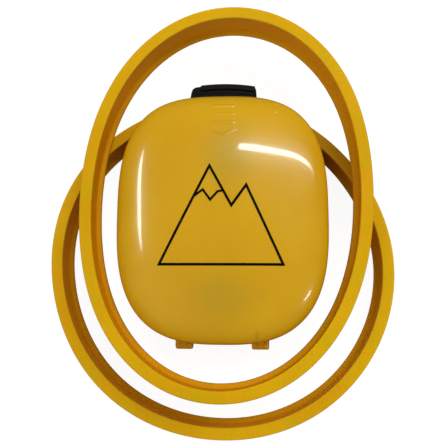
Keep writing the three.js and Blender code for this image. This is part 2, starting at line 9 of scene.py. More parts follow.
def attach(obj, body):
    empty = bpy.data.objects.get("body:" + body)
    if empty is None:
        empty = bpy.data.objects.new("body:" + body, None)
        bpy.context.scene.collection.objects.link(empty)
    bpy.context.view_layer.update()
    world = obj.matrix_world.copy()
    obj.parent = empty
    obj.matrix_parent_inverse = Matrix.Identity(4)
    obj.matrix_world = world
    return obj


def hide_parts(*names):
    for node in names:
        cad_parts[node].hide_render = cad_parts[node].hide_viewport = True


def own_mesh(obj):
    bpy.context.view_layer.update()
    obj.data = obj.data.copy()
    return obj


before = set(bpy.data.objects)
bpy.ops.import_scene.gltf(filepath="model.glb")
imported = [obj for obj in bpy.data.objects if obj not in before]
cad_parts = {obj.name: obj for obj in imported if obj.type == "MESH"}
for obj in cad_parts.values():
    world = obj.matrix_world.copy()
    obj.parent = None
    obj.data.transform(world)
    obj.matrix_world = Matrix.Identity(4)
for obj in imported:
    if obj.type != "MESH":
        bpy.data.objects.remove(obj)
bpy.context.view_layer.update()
MM = 0.001

# Case outline: a superellipse, squarer towards the latch than towards the hinge.
HALF_W, HALF_L = 33.1, 39.1
FOOT_SOFTNESS = 0.18        # how far the -Y half leans towards a plain ellipse
COVER_Z0, COVER_SHOULDER, COVER_TOP = 14.7, 17.6, 27.5
SHELL_TOP = 14.4

# Hinge: two shell forks, each with a cover tongue between its cheeks.
HINGE_X, HINGE_Y, HINGE_Z = 12.0, -39.5, 12.4
KNUCKLE_R, FORK_HALF = 1.7, 2.75

# Rubber rings: thickness, depth, and the wavy circles they follow.
RING_T, RING_D = 3.8, 11.8
LOWER_X, LOWER_Y = -1.11, -14.36
UPPER_Z = RING_D + 0.15
RINGS = (
    # which, centre x, centre y, foot z, mean radius, (cos, sin) amounts of waves 2 to 5
    ("lower", LOWER_X, LOWER_Y, 0.0, 55.31,
     ((0.43, -0.66), (0.04, -0.04), (-0.06, -0.18), (0.13, 0.09))),
    ("upper", 1.08, 5.76, UPPER_Z, 52.7,
     ((-8.21, 1.01), (-0.03, -0.08), (0.38, -0.23), (0.01, 0.02))),
)
# Round wall of the shell that the lower ring passes at the latch end.
SEAT_R, SEAT_TOP = 50.4, 12.6

# Latch: half width, furthest y of the pushing edge, and radius of that edge.
LATCH_HALF, LATCH_OUT, LATCH_ARC = 10.6, 43.9, 60.0

SCREWS = ((-17.5, 23), (17.5, 23), (-18.5, -26), (18.5, -26))


# ------------------------------------------------------------------ mesh kit
# For each axis, which local coordinate lands on x, y and z when local z turns onto it.
TURNS = {"z": (0, 1, 2), "x": (2, 0, 1), "y": (0, 2, 1)}


def mesh_object(name, verts, faces):
    mesh = bpy.data.meshes.new(name)
    mesh.from_pydata([tuple(float(c) * MM for c in vert) for vert in verts], [], faces)
    mesh.validate()
    mesh.update()
    ob = bpy.data.objects.new(name, mesh)
    bpy.context.scene.collection.objects.link(ob)
    return ob


def shade_smooth(ob, angle=32.0):
    """Smooth shading, with edges steeper than angle kept sharp."""
    mesh = ob.data
    mesh.polygons.foreach_set("use_smooth", [True] * len(mesh.polygons))
    mesh.set_sharp_from_angle(angle=math.radians(angle))
    mesh.update()
    return ob


def face_outward(ob):
    bm = bmesh.new()
    bm.from_mesh(ob.data)
    bmesh.ops.recalc_face_normals(bm, faces=bm.faces)
    bm.to_mesh(ob.data)
    bm.free()
    return ob


def bake(ob):
    """Applies every modifier of ob."""
    graph = bpy.context.evaluated_depsgraph_get()
    graph.update()
    mesh = bpy.data.meshes.new_from_object(ob.evaluated_get(graph))
    old = ob.data
    ob.modifiers.clear()
    ob.data = mesh
    if old.users == 0:
        bpy.data.meshes.remove(old)
    return ob


def cut(ob, other, operation="DIFFERENCE", solver="MANIFOLD"):
    """Applies a boolean with other, which is used up."""
    modifier = ob.modifiers.new("cut", "BOOLEAN")
    modifier.operation = operation
    modifier.object = other
    modifier.solver = solver
    bake(ob)
    bpy.data.objects.remove(other)
    return ob


def add_bevel(ob, width, segments, angle):
    modifier = ob.modifiers.new("edge", "BEVEL")
    modifier.width = width * MM
    modifier.segments = segments
    modifier.limit_method = "ANGLE"
    modifier.angle_limit = math.radians(angle)


def bevel(ob, width, segments=3, angle=35.0):
    add_bevel(ob, width, segments, angle)
    return bake(ob)


def box(name, x, y, z):
    """x, y, z: the (low, high) limits."""
    verts = [(px, py, pz) for pz in z for py in y for px in x]
    faces = [(0, 2, 3, 1), (4, 5, 7, 6), (0, 1, 5, 4), (2, 6, 7, 3), (0, 4, 6, 2), (1, 3, 7, 5)]
    return mesh_object(name, verts, faces)


def prism(name, outline, low, high, axis="z"):
    """An outline drawn in (x, y), (y, z) or (x, z), drawn out along the remaining axis."""
    count = len(outline)
    flat = [(*point, level) for level in (low, high) for point in outline]
    faces = [tuple(range(count - 1, -1, -1)), tuple(range(count, 2 * count))]
    faces += [(i, (i + 1) % count, count + (i + 1) % count, count + i) for i in range(count)]
    return mesh_object(name, [tuple(p[k] for k in TURNS[axis]) for p in flat], faces)


def lathe(name, profile, segments, axis="z", at=(0, 0, 0)):
    """profile: (radius, height), lowest first. Zero radii make poles; without any it closes up."""
    verts, faces, rows = [], [], []
    for radius, height in profile:
        if radius == 0:
            rows.append([len(verts)])
            verts.append((0, 0, height))
            continue
        rows.append(list(range(len(verts), len(verts) + segments)))
        for i in range(segments):
            turn = 2 * math.pi * i / segments
            verts.append((radius * math.cos(turn), radius * math.sin(turn), height))
    pairs = list(zip(rows, rows[1:]))
    if len(rows[0]) > 1:
        pairs.append((rows[-1], rows[0]))
    for below, above in pairs:
        for i in range(segments):
            j = (i + 1) % segments
            if len(below) == 1:
                faces.append((below[0], above[j], above[i]))
            elif len(above) == 1:
                faces.append((below[i], below[j], above[0]))
            else:
                faces.append((below[i], below[j], above[j], above[i]))
    placed = [tuple(p[k] + offset for k, offset in zip(TURNS[axis], at)) for p in verts]
    return mesh_object(name, placed, faces)


def cylinder(name, radius, low, high, segments, axis="z", at=(0, 0, 0)):
    profile = [(0, low), (radius, low), (radius, high), (0, high)]
    return lathe(name, profile, segments, axis, at)


def skin_loops(name, layers):
    """Joins equal loops of points into one capped skin."""
    count = len(layers[0])
    verts = [point for layer in layers for point in layer]
    faces = []
    for k in range(len(layers) - 1):
        for i in range(count):
            j = (i + 1) % count
            faces.append((k * count + i, k * count + j, (k + 1) * count + j, (k + 1) * count + i))
    faces.append(tuple(range(count - 1, -1, -1)))
    faces.append(tuple(range((len(layers) - 1) * count, len(layers) * count)))
    return mesh_object(name, verts, faces)


def soften_foot(power, towards_foot):
    """Superellipse power, lowered on the -Y side."""
    return np.where(towards_foot, power - FOOT_SOFTNESS * (power - 2.0), power)


def case_loop(theta, half_w, half_l, power, z):
    c, s = np.abs(np.cos(theta)), np.abs(np.sin(theta))
    power = soften_foot(power, np.sin(theta) < 0)
    radius = ((c / half_w) ** power + (s / half_l) ** power) ** (-1.0 / power)
    return np.stack([radius * np.cos(theta), radius * np.sin(theta), np.full_like(theta, z)], -1)


# ------------------------------------------------------------- material kit
class MaterialNodes:
    """A Principled material, with short calls for the nodes that feed it."""

    def __init__(self, name):
        self.material = bpy.data.materials.new(name)
        self.material.use_nodes = True
        self.tree = self.material.node_tree
        self.tree.nodes.clear()
        output = self.node("ShaderNodeOutputMaterial")
        self.bsdf = self.node("ShaderNodeBsdfPrincipled")
        self.feed(output.inputs["Surface"], self.bsdf.outputs[0])
        self._position = None

    def node(self, kind, **properties):
        node = self.tree.nodes.new(kind)
        for name, value in properties.items():
            setattr(node, name, value)
        return node

    def feed(self, socket, value):
        """Links an output, or sets a number, vector or (r, g, b) colour."""
        if isinstance(value, bpy.types.NodeSocket):
            self.tree.links.new(value, socket)
        else:
            socket.default_value = (*value, 1.0) if socket.type == "RGBA" else value

    def set(self, **inputs):
        """Feeds the shader's inputs; underscores stand for spaces."""
        for name, value in inputs.items():
            self.feed(self.bsdf.inputs[name.replace("_", " ")], value)

    def position(self):
        if self._position is None:
            self._position = self.node("ShaderNodeTexCoord").outputs["Object"]
        return self._position

    def xyz(self):
        node = self.node("ShaderNodeSeparateXYZ")
        self.feed(node.inputs[0], self.position())
        return node.outputs

    def texture(self, kind, output, vector=None, **inputs):
        node = self.node(kind)
        for name, value in inputs.items():
            self.feed(node.inputs[name], value)
        self.feed(node.inputs["Vector"], vector or self.position())
        return node.outputs[output]

    def noise(self, scale, detail, rough=0.55, stretch=None):
        vector = None
        if stretch:
            vector = self.texture("ShaderNodeMapping", 0, Scale=stretch)
        return self.texture("ShaderNodeTexNoise", "Fac", vector,
                            Scale=scale, Detail=detail, Roughness=rough)

    def math(self, operation, *values):
        node = self.node("ShaderNodeMath", operation=operation)
        for socket, value in zip(node.inputs, values):
            self.feed(socket, value)
        return node.outputs[0]

    def weighted(self, first, second, weights):
        return self.math("ADD", self.math("MULTIPLY", first, weights[0]),
                         self.math("MULTIPLY", second, weights[1]))

    def remap(self, value, span, to=(0.0, 1.0), smooth=False):
        """Carries span onto to, clamped at both ends."""
        node = self.node("ShaderNodeMapRange", clamp=True,
                         interpolation_type="SMOOTHSTEP" if smooth else "LINEAR")
        for i, limit in enumerate((*span, *to)):
            node.inputs[i + 1].default_value = limit
        self.feed(node.inputs[0], value)
        return node.outputs[0]

    def ramp(self, value, start, end, to=(0.0, 1.0), smooth=True):
        """remap of a length, with start and end in millimetres."""
        return self.remap(value, (start * MM, end * MM), to, smooth)

    def step(self, value, start, end):
        return self.ramp(value, start, end, smooth=False)

    def band(self, value, rise, fall):
        """1 between two crisp edges, in millimetres."""
        return self.math("MULTIPLY", self.step(value, *rise), self.step(value, *fall))

    def mottle(self, scale, detail, span, to=(0.0, 1.0), rough=0.55, stretch=None):
        """Remapped noise."""
        return self.remap(self.noise(scale, detail, rough, stretch), span, to)

    def mix(self, mask, base, colour):
        """colour over base where mask is 1."""
        node = self.node("ShaderNodeMix", data_type="RGBA")
        for index, value in ((0, mask), (6, base), (7, colour)):
            self.feed(node.inputs[index], value)
        return node.outputs[2]

    def bump(self, height, strength, distance):
        node = self.node("ShaderNodeBump")
        for name, value in (("Strength", strength), ("Distance", distance), ("Height", height)):
            self.feed(node.inputs[name], value)
        return node.outputs[0]

    def ellipse(self, centre, radii, soft):
        """1 at the middle of a soft ellipse on the XY plane, in millimetres."""
        x, y, _ = self.xyz()
        squares = []
        for value, middle, radius in ((x, centre[0], radii[0]), (y, centre[1], radii[1])):
            offset = self.math("SUBTRACT", value, middle * MM)
            offset = self.math("DIVIDE", offset, radius * MM)
            squares.append(self.math("MULTIPLY", offset, offset))
        reach = self.math("SQRT", self.math("ADD", *squares))
        return self.remap(reach, span=(1.0 + soft, 0.0), smooth=True)


def paint(ob, material):
    ob.data.materials.clear()
    ob.data.materials.append(material)


def add_part(ob, material, body, replaces=None):
    """Paints ob and tells the frame what it moves with and stands for."""
    paint(ob, material)
    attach(ob, body)
    if replaces:
        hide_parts(replaces)


# ---------------------------------------------------------- outer materials
def cover_finish():
    mat = MaterialNodes("cover_polycarbonate")
    base = mat.mix(mat.mottle(scale=38.0, detail=3.0, rough=0.5, span=(0.35, 0.68)),
                   base=(0.560, 0.298, 0.0042), colour=(0.600, 0.335, 0.0062))
    # painted shade: the two ends of the battery box behind the translucent wall, drawn as darker
    # patches in the base colour
    ends = ((mat.ellipse(centre=(2.0, 17.5), radii=(6.5, 8.5), soft=0.9), 0.60),
            (mat.ellipse(centre=(0.5, -24.5), radii=(8.5, 7.0), soft=0.8), 0.75))
    shade = mat.math("MAXIMUM", *(mat.math("MULTIPLY", end, amount) for end, amount in ends))
    shade_unevenness = mat.mottle(scale=160.0, detail=2.0, span=(0.2, 0.7), to=(0.8, 1.0))
    base = mat.mix(mat.math("MULTIPLY", shade, shade_unevenness), base, colour=(0.400, 0.262, 0.0120))
    # painted shading: a deeper, more saturated base colour near the rim, where the wall is seen
    # edge-on and light crosses more plastic
    _, y, z = mat.xyz()
    edge_on_shading = mat.ramp(z, start=23.8, end=18.5, to=(0.0, 0.8))
    base = mat.mix(edge_on_shading, base, colour=(0.660, 0.325, 0.0014))
    # painted shade: the base colour darkens towards the hinge end (-Y), which faces away from the
    # light
    lower_end_shade = mat.ramp(y, start=-6.0, end=-36.0, to=(0.0, 0.12))
    base = mat.mix(lower_end_shade, base, colour=(0.520, 0.255, 0.0008))
    head = mat.ramp(y, start=33.5, end=39.0, to=(0.0, 0.6))
    base = mat.mix(head, base, colour=(0.440, 0.275, 0.0090))
    # a pale nick near the latch end and a grey rub mark near the hinge end
    nick = mat.ellipse(centre=(16.8, 32.0), radii=(0.28, 0.22), soft=0.5)
    base = mat.mix(nick, base, colour=(0.80, 0.66, 0.30))
    rub = mat.math("MULTIPLY", mat.ellipse(centre=(10.7, -35.9), radii=(0.55, 1.3), soft=0.8),
                   mat.mottle(scale=1400.0, detail=3.0, span=(0.35, 0.65), to=(0.2, 0.75)))
    base = mat.mix(rub, base, colour=(0.260, 0.165, 0.020))
    wear = mat.weighted(mat.noise(scale=900.0, detail=3.0, rough=0.6),
                        mat.noise(scale=260.0, detail=5.0, rough=0.7, stretch=(1.0, 9.0, 1.0)),
                        weights=(0.4, 0.6))
    facing = mat.node("ShaderNodeLayerWeight").outputs["Facing"]
    mat.set(
        Base_Color=base,
        Roughness=mat.remap(wear, span=(0.3, 0.75), to=(0.20, 0.27)),
        Normal=mat.bump(mat.noise(scale=70.0, detail=2.0), strength=0.05, distance=0.00012),
        Coat_Weight=mat.remap(facing, span=(0.72, 0.97), to=(1.0, 0.12), smooth=True),
        Coat_Roughness=mat.mottle(scale=320.0, detail=4.0, rough=0.65,
                                  span=(0.35, 0.8), to=(0.045, 0.085)),
        Coat_IOR=1.5, IOR=1.5, Subsurface_Weight=0.25, Subsurface_Scale=1.0,
        Subsurface_Radius=(0.0035, 0.0018, 0.0003),
        Specular_IOR_Level=0.55, Specular_Tint=(0.70, 1.0, 0.95))
    return mat.material


def shell_finish():
    mat = MaterialNodes("shell_polycarbonate")
    mat.set(
        Base_Color=mat.mix(mat.mottle(scale=60.0, detail=4.0, span=(0.3, 0.7)),
                           base=(0.560, 0.270, 0.003), colour=(0.640, 0.330, 0.006)),
        Roughness=mat.mottle(scale=420.0, detail=4.0, span=(0.3, 0.7), to=(0.34, 0.50)),
        Normal=mat.bump(mat.noise(scale=2600.0, detail=2.0, rough=0.5),
                        strength=0.25, distance=0.00003),
        Subsurface_Weight=0.25, Subsurface_Radius=(0.0030, 0.0014, 0.0002),
        Subsurface_Scale=1.0, Coat_Weight=0.25, Coat_Roughness=0.2)
    return mat.material


def rubber_finish(name, foot_z, shaded_by_upper):
    mat = MaterialNodes(name)
    x, y, z = mat.xyz()
    base = mat.mix(mat.mottle(scale=26.0, detail=4.0, span=(0.36, 0.66)),
                   base=(0.530, 0.272, 0.0008), colour=(0.580, 0.332, 0.0014))
    patch = mat.mottle(scale=75.0, detail=3.0, rough=0.6, stretch=(1.0, 1.0, 2.2),
                       span=(0.52, 0.74), to=(0.0, 0.75))
    base = mat.mix(patch, base, colour=(0.470, 0.328, 0.0018))
    blush = mat.mottle(scale=60.0, detail=3.0, rough=0.6, stretch=(1.3, 1.0, 1.0),
                       span=(0.58, 0.76), to=(0.0, 0.65))
    base = mat.mix(blush, base, colour=(0.640, 0.270, 0.0040))
    # painted shade: the channel's wall and ledge get a deeper orange, standing in for the shade
    # inside the channel, where light reaches the rubber mostly through itself
    wall = mat.node("ShaderNodeAttribute", attribute_name="wall").outputs["Fac"]
    base = mat.mix(mat.math("MULTIPLY", wall, 0.92), base, colour=(0.660, 0.250, 0.0004))
    if shaded_by_upper:
        # painted shade: darker on the +Y side and most towards +X, where the other strap lies over
        # this one and shades it
        right = mat.math("MULTIPLY", mat.ramp(y, start=8.0, end=26.0),
                         mat.ramp(x, start=0.0, end=25.0, to=(0.25, 1.0)))
        shade_unevenness = mat.mottle(scale=90.0, detail=4.0, span=(0.2, 0.6), to=(0.65, 1.0))
        shade_mask = mat.math("MULTIPLY", right, shade_unevenness)
        base = mat.mix(mat.math("MULTIPLY", shade_mask, 0.55), base, colour=(0.230, 0.095, 0.0006))
    # black rubbed marks and pale dust
    smear = mat.mottle(scale=210.0, detail=5.0, rough=0.75, stretch=(1.0, 1.0, 5.0),
                       span=(0.66, 0.80), to=(0.0, 0.35))
    base = mat.mix(smear, base, colour=(0.180, 0.090, 0.004))
    dust = mat.mottle(scale=1500.0, detail=3.0, rough=0.7, span=(0.66, 0.80), to=(0.0, 0.22))
    base = mat.mix(dust, base, colour=(0.620, 0.430, 0.050))
    # the mould's parting line runs round the middle of the strap
    from_middle = mat.math("ABSOLUTE", mat.math("SUBTRACT", z, (foot_z + RING_D / 2) * MM))
    seam = mat.math("MULTIPLY", mat.ramp(from_middle, start=0.22, end=0.10),
                    mat.mottle(scale=120.0, detail=3.0, span=(0.3, 0.6), to=(0.35, 1.0)))
    base = mat.mix(mat.math("MULTIPLY", seam, 0.30), base, colour=(0.400, 0.200, 0.0010))
    skin = mat.weighted(mat.noise(scale=1800.0, detail=3.0), mat.noise(scale=240.0, detail=3.0),
                        weights=(0.7, 0.6))
    skin = mat.math("ADD", skin, mat.math("MULTIPLY", seam, 1.6))
    mat.set(
        Base_Color=base,
        Roughness=mat.mottle(scale=300.0, detail=4.0, span=(0.3, 0.7), to=(0.46, 0.64)),
        Normal=mat.bump(skin, strength=0.26, distance=0.00006),
        Subsurface_Weight=0.15, Subsurface_Radius=(0.0018, 0.0008, 0.0001),
        Subsurface_Scale=1.0, Specular_IOR_Level=0.10)
    return mat.material


def black_finish(name, colour, rough):
    mat = MaterialNodes(name)
    wear = mat.mottle(scale=500.0, detail=4.0, rough=0.6, span=(0.55, 0.85), to=(0.0, 0.5))
    mat.set(
        Base_Color=mat.mix(wear, base=colour, colour=tuple(c * 2.6 for c in colour)),
        Roughness=mat.mottle(scale=700.0, detail=3.0, span=(0.3, 0.7),
                             to=(rough - 0.08, rough + 0.10)),
        Normal=mat.bump(mat.noise(scale=3200.0, detail=2.0), strength=0.35, distance=0.00004),
        Specular_IOR_Level=0.2)
    return mat.material


def ink_finish():
    mat = MaterialNodes("print_ink")
    mat.set(
        Base_Color=mat.mix(mat.mottle(scale=900.0, detail=3.0, span=(0.4, 0.8)),
                           base=(0.0022, 0.0012, 0.0005), colour=(0.006, 0.0035, 0.0012)),
        Roughness=mat.mottle(scale=1200.0, detail=2.0, span=(0.3, 0.7), to=(0.36, 0.50)),
        Specular_IOR_Level=0.06)
    return mat.material


# ---------------------------------------------------------------- the cover
DOME_POWER, DOME_ROOT = 2.45, 0.345     # shape of the dome's section
RIM_POWER = 3.0                         # outline power at the rim
CEILING_LOW, CEILING_TOP = COVER_SHOULDER - 0.6, 25.45
INNER_SCALE = 0.944                     # inner skin's rim over the outer one
RIM_ROUND = 0.35
NOTCH_HALF = LATCH_HALF + 1.0           # opening in the rim for the latch
NOTCH_TOP, NOTCH_BLEND = 18.3, 19.0     # its top edge, and where its effect ends
NOTCH_STEP = 0.0004                     # half angle of the notch's upright edges
# Scales of the inner skin's loops, from the middle of the ceiling outwards.
CEILING_SCALES = (0.04, 0.12, 0.22, 0.34, 0.46, 0.58, 0.68, 0.76, 0.82, 0.87,
                  0.90, 0.92, 0.932, 0.94)

ICON_X = 0.55
ICON_BARS = (34.1, 31.25, 28.45)        # y of each bar
CHEVRON_TIP, CHEVRON_ENDS = (-0.2, 24.4), ((-3.6, 26.2), (3.6, 26.5))


def dome_rise(scale):
    return (1.0 - scale ** DOME_POWER) ** DOME_ROOT


def cover_height(scale):
    """Outside height of the cover where the outline is scaled by scale."""
    scale = np.clip(scale, 0.0, 1.0)
    return COVER_SHOULDER + (COVER_TOP - COVER_SHOULDER) * dome_rise(scale)


def cover_power(scale):
    return 2.1 + 0.9 * np.clip(scale / 0.9, 0, 1) ** 1.2


def surface_z(x, y):
    """Height of the cover at (x, y), by repeated refinement of the outline's scale."""
    x, y = np.asarray(x, float), np.asarray(y, float)
    scale = np.full(np.shape(x), 0.5)
    for _ in range(40):
        power = soften_foot(cover_power(scale), y < 0)
        scale = ((np.abs(x) / HALF_W) ** power + (np.abs(y) / HALF_L) ** power) ** (1.0 / power)
    return cover_height(scale)


def segment_distance(x, y, start, end):
    dx, dy = end[0] - start[0], end[1] - start[1]
    along = ((x - start[0]) * dx + (y - start[1]) * dy) / (dx * dx + dy * dy)
    along = np.clip(along, 0, 1)
    return np.hypot(x - start[0] - along * dx, y - start[1] - along * dy)


def raised(distance, blend):
    """1 inside a shape and 0 outside, eased over blend across its edge."""
    value = np.clip(0.5 - distance / blend, 0, 1)
    return value * value * (3 - 2 * value)


def icon_height(x, y):
    """Raised marks: three bars and a chevron, inside a faintly raised field."""
    x = x - ICON_X
    height = np.zeros_like(x)
    for bar_y in ICON_BARS:
        distance = np.maximum(np.abs(x) - 3.45, np.abs(y - bar_y) - 0.36)
        height = np.maximum(height, raised(distance, blend=0.55))
    arms = [segment_distance(x, y, end, CHEVRON_TIP) for end in CHEVRON_ENDS]
    height = np.maximum(height, raised(np.minimum(*arms) - 0.26, blend=0.5))
    field = np.maximum(np.abs(x) - 4.5, np.abs(y - 30.4) - 4.8)
    return 0.20 * height + 0.035 * raised(field, blend=0.7)


def vertex_values(mesh, name):
    values = np.zeros(len(mesh.vertices) * 3)
    mesh.vertices.foreach_get(name, values)
    return values.reshape(-1, 3)


def build_cover():
    theta = list(np.linspace(0, 2 * math.pi, 640, endpoint=False))
    notch_y = HALF_L * (1 - (NOTCH_HALF / HALF_W) ** RIM_POWER) ** (1 / RIM_POWER)
    edge = math.atan2(notch_y, NOTCH_HALF)
    for angle in (edge, math.pi - edge):
        theta += [angle - NOTCH_STEP, angle + NOTCH_STEP]
    theta = np.array(sorted(theta))
    in_notch = (theta > edge) & (theta < math.pi - edge)
    rim_z = np.where(in_notch, NOTCH_TOP, COVER_Z0)

    def loop(scale, z, power=RIM_POWER):
        """Loop at a scale and height; low ones are squeezed up to clear the notch."""
        squeezed = rim_z + (z - COVER_Z0) * (NOTCH_BLEND - rim_z) / (NOTCH_BLEND - COVER_Z0)
        height = np.where(z < NOTCH_BLEND, squeezed, z)
        return case_loop(theta, HALF_W * scale, HALF_L * scale, power, height)

    layers = []
    # inner skin, from the middle of the ceiling down to the rim
    for scale in CEILING_SCALES:
        rise = dome_rise(min(1.0, scale / INNER_SCALE))
        z = CEILING_LOW + (CEILING_TOP - CEILING_LOW) * rise
        layers.append(loop(scale, z, cover_power(scale)))
    layers.append(loop(INNER_SCALE, 16.6))
    layers.append(loop(INNER_SCALE, COVER_Z0 + RIM_ROUND))
    # both rounded edges of the rim
    for degrees in (30, 60, 90):
        a = math.radians(degrees)
        layers.append(loop(INNER_SCALE + (RIM_ROUND / HALF_W) * (1 - math.cos(a)),
                           COVER_Z0 + RIM_ROUND * (1 - math.sin(a))))
    for degrees in (0, 30, 60, 90):
        a = math.radians(degrees)
        layers.append(loop(1.0 - (RIM_ROUND / HALF_W) * (1 - math.sin(a)),
                           COVER_Z0 + RIM_ROUND * (1 - math.cos(a))))
    for z in (15.6, 16.4, COVER_SHOULDER):
        layers.append(loop(1.0, z))
    # outer skin: crowded near the shoulder, and fine where the marks are
    shoulder = 1.0 - np.linspace(0.0, 1.0, 46)[1:] ** 2.6 * 0.10
    scales = [scale for scale in shoulder if scale > 0.905]
    scales += list(np.linspace(0.905, 0.60, 62)) + list(np.linspace(0.59, 0.03, 30))
    first = len(layers) * len(theta)
    layers += [loop(scale, cover_height(scale), cover_power(scale)) for scale in scales]

    ob = skin_loops("cover_shell", layers)
    mesh = ob.data
    normals = vertex_values(mesh, "normal")
    places = vertex_values(mesh, "co")
    height = icon_height(places[first:, 0] / MM, places[first:, 1] / MM)
    places[first:] += normals[first:] * height[:, None] * MM
    mesh.vertices.foreach_set("co", places.ravel())
    mesh.update()
    return shade_smooth(ob, 38)


def build_tongue(side):
    """A barrel on the hinge axis and the neck that carries it from the cover."""
    half, chamfer = 1.06, 0.08
    centre = (side * HINGE_X, HINGE_Y, HINGE_Z)
    profile = [(0, -half), (KNUCKLE_R - chamfer, -half), (KNUCKLE_R, -half + chamfer),
               (KNUCKLE_R, half - chamfer), (KNUCKLE_R - chamfer, half), (0, half)]
    name = f"cover_tongue_{'left' if side < 0 else 'right'}"
    barrel = lathe(name, profile, 64, "x", centre)
    side_view = [  # y, z
        (HINGE_Y - 0.6, HINGE_Z), (HINGE_Y + 1.2, HINGE_Z), (HINGE_Y + 1.2, 14.75),
        (HINGE_Y + 2.4, 14.75), (HINGE_Y + 2.4, 16.0), (HINGE_Y + 1.1, 16.0),
        (HINGE_Y - 0.1, 14.6), (HINGE_Y - 0.6, 13.9)]
    neck = prism("neck", side_view, centre[0] - half, centre[0] + half, "x")
    bevel(neck, 0.08, 2)
    cut(barrel, neck, "UNION", "EXACT")
    hole = cylinder("pin_hole", 0.8, -3, 3, 32, "x", centre)
    cut(barrel, hole, "DIFFERENCE", "EXACT")
    return shade_smooth(barrel)


def build_catch_rib():
    rib = box("cover_catch_rib", x=(-2.5, 2.5), y=(32.6, 33.8), z=(16.7, 23.6))
    return shade_smooth(bevel(rib, 0.25))


cover_plastic = cover_finish()
cover = build_cover()
for side in (-1, 1):
    add_part(build_tongue(side), cover_plastic, "cover")
add_part(build_catch_rib(), cover_plastic, "cover")
add_part(cover, cover_plastic, "cover", "front_cover")


# ------------------------------------------------------------ printed mark
INK_LIFT, INK_DEPTH = 0.035, 0.05       # above and below the cover's surface
INK_STEP = 0.6                          # longest piece of a printed line
INK_LINES = (
    # name, line width, closed, (x, y) corners
    ("mark_ridge", 0.78, True,
     ((-18.2, -15.0), (-3.4, 14.5), (3.2, 2.4), (7.6, 8.6), (18.4, -15.0))),
    ("mark_snow", 0.70, False,
     ((-8.05, 5.2), (-5.3, 7.2), (-3.1, 4.1), (-0.9, 6.6), (0.75, 6.9))),
)


def mitred_edges(points, half, closed):
    """The left and right edges of a line through points."""
    count = len(points)
    left, right = [], []
    for i, point in enumerate(points):
        before = points[i - 1] if (closed or i > 0) else None
        after = points[(i + 1) % count] if (closed or i < count - 1) else None
        arriving = ((point - before) if before is not None else (after - point)).normalized()
        leaving = (after - point).normalized() if after is not None else arriving
        normal = Vector((-arriving.y, arriving.x))
        mitre = (normal + Vector((-leaving.y, leaving.x))).normalized()
        reach = min(2.2, 1.0 / max(0.25, mitre.dot(normal)))
        left.append(point + mitre * half * reach)
        right.append(point - mitre * half * reach)
    return left, right


def build_ink_line(name, width, closed, corners):
    """A printed line that follows the cover's surface."""
    points = [Vector(corner) for corner in corners]
    count = len(points)
    left, right = mitred_edges(points, width / 2, closed)
    rows = []
    for i in range(count if closed else count - 1):
        j = (i + 1) % count
        pieces = max(1, int(math.ceil((points[j] - points[i]).length / INK_STEP)))
        for k in range(pieces):
            rows.append((left[i].lerp(left[j], k / pieces), right[i].lerp(right[j], k / pieces)))
    if not closed:
        rows.append((left[-1], right[-1]))
    verts, faces = [], []
    for a, b in rows:
        section = ((a, INK_LIFT), (a.lerp(b, 0.5), INK_LIFT), (b, INK_LIFT),
                   (b, -INK_DEPTH), (a, -INK_DEPTH))
        for point, up in section:
            verts.append((point.x, point.y, float(surface_z(point.x, point.y)) + up))
    last = len(rows) - 1
    for i in range(last + 1 if closed else last):
        j = (i + 1) % len(rows)
        for k in range(5):
            m = (k + 1) % 5
            faces.append((i * 5 + k, j * 5 + k, j * 5 + m, i * 5 + m))
    if not closed:
        faces.append(tuple(range(5)))
        faces.append(tuple(last * 5 + k for k in (4, 3, 2, 1, 0)))
    return shade_smooth(face_outward(mesh_object(name, verts, faces)), 50)


ink = ink_finish()
for mark in [build_ink_line(*line) for line in INK_LINES]:
    add_part(mark, ink, "cover")


# -------------------------------------------------------------- rear shell
SHELL_POWER = 2.95
SHELL_THETA = np.linspace(0, 2 * math.pi, 320, endpoint=False)
BOTTOM_ROUND = 9.0
TOP_ROUND = 0.3
WALL, FLOOR = 1.9, 2.0
LIP_INSET = 3.6                         # inner face of the thick top of the wall
FORK_ROUND = 0.6
BOSS_PROFILE = [                        # radius, z
    (0, 1.6), (3.3, 1.6), (3.1, 2.2), (2.7, 2.9), (2.6, 4.8), (2.45, 4.95), (0, 4.95)]
GUIDE_OUTLINE = (                       # distance from the middle, z
    (8.9, 14.0), (10.2, 14.0), (10.2, 17.4), (7.8, 17.4), (7.8, 16.6), (8.9, 16.6))


def shell_loop(inset, z):
    return case_loop(SHELL_THETA, HALF_W - inset, HALF_L - inset, SHELL_POWER, z)


def shell_bowl():
    """The outside of the shell, solid."""
    layers = []
    for i in range(21):
        a = math.pi / 2 * i / 20
        layers.append(shell_loop(BOTTOM_ROUND * (1 - math.sin(a)),
                                 BOTTOM_ROUND * (1 - math.cos(a))))
    layers += [shell_loop(0, z) for z in (11.0, 13.0)]
    for degrees in (0, 30, 60, 90):
        a = math.radians(degrees)
        layers.append(shell_loop(TOP_ROUND * (1 - math.cos(a)),
                                 SHELL_TOP - TOP_ROUND + TOP_ROUND * math.sin(a)))
    return skin_loops("rear_housing", layers)


def shell_cavity():
    layers = []
    for i in range(13):
        a = math.pi / 2 * i / 12
        layers.append(shell_loop(WALL + 7.5 * (1 - math.sin(a)), FLOOR + 7.0 * (1 - math.cos(a))))
    top = ((WALL, 10.6), (LIP_INSET, 12.3), (LIP_INSET, SHELL_TOP - 0.25),
           (LIP_INSET - 0.25, SHELL_TOP), (LIP_INSET - 0.25, SHELL_TOP + 3))
    layers += [shell_loop(inset, z) for inset, z in top]
    return skin_loops("cavity", layers)


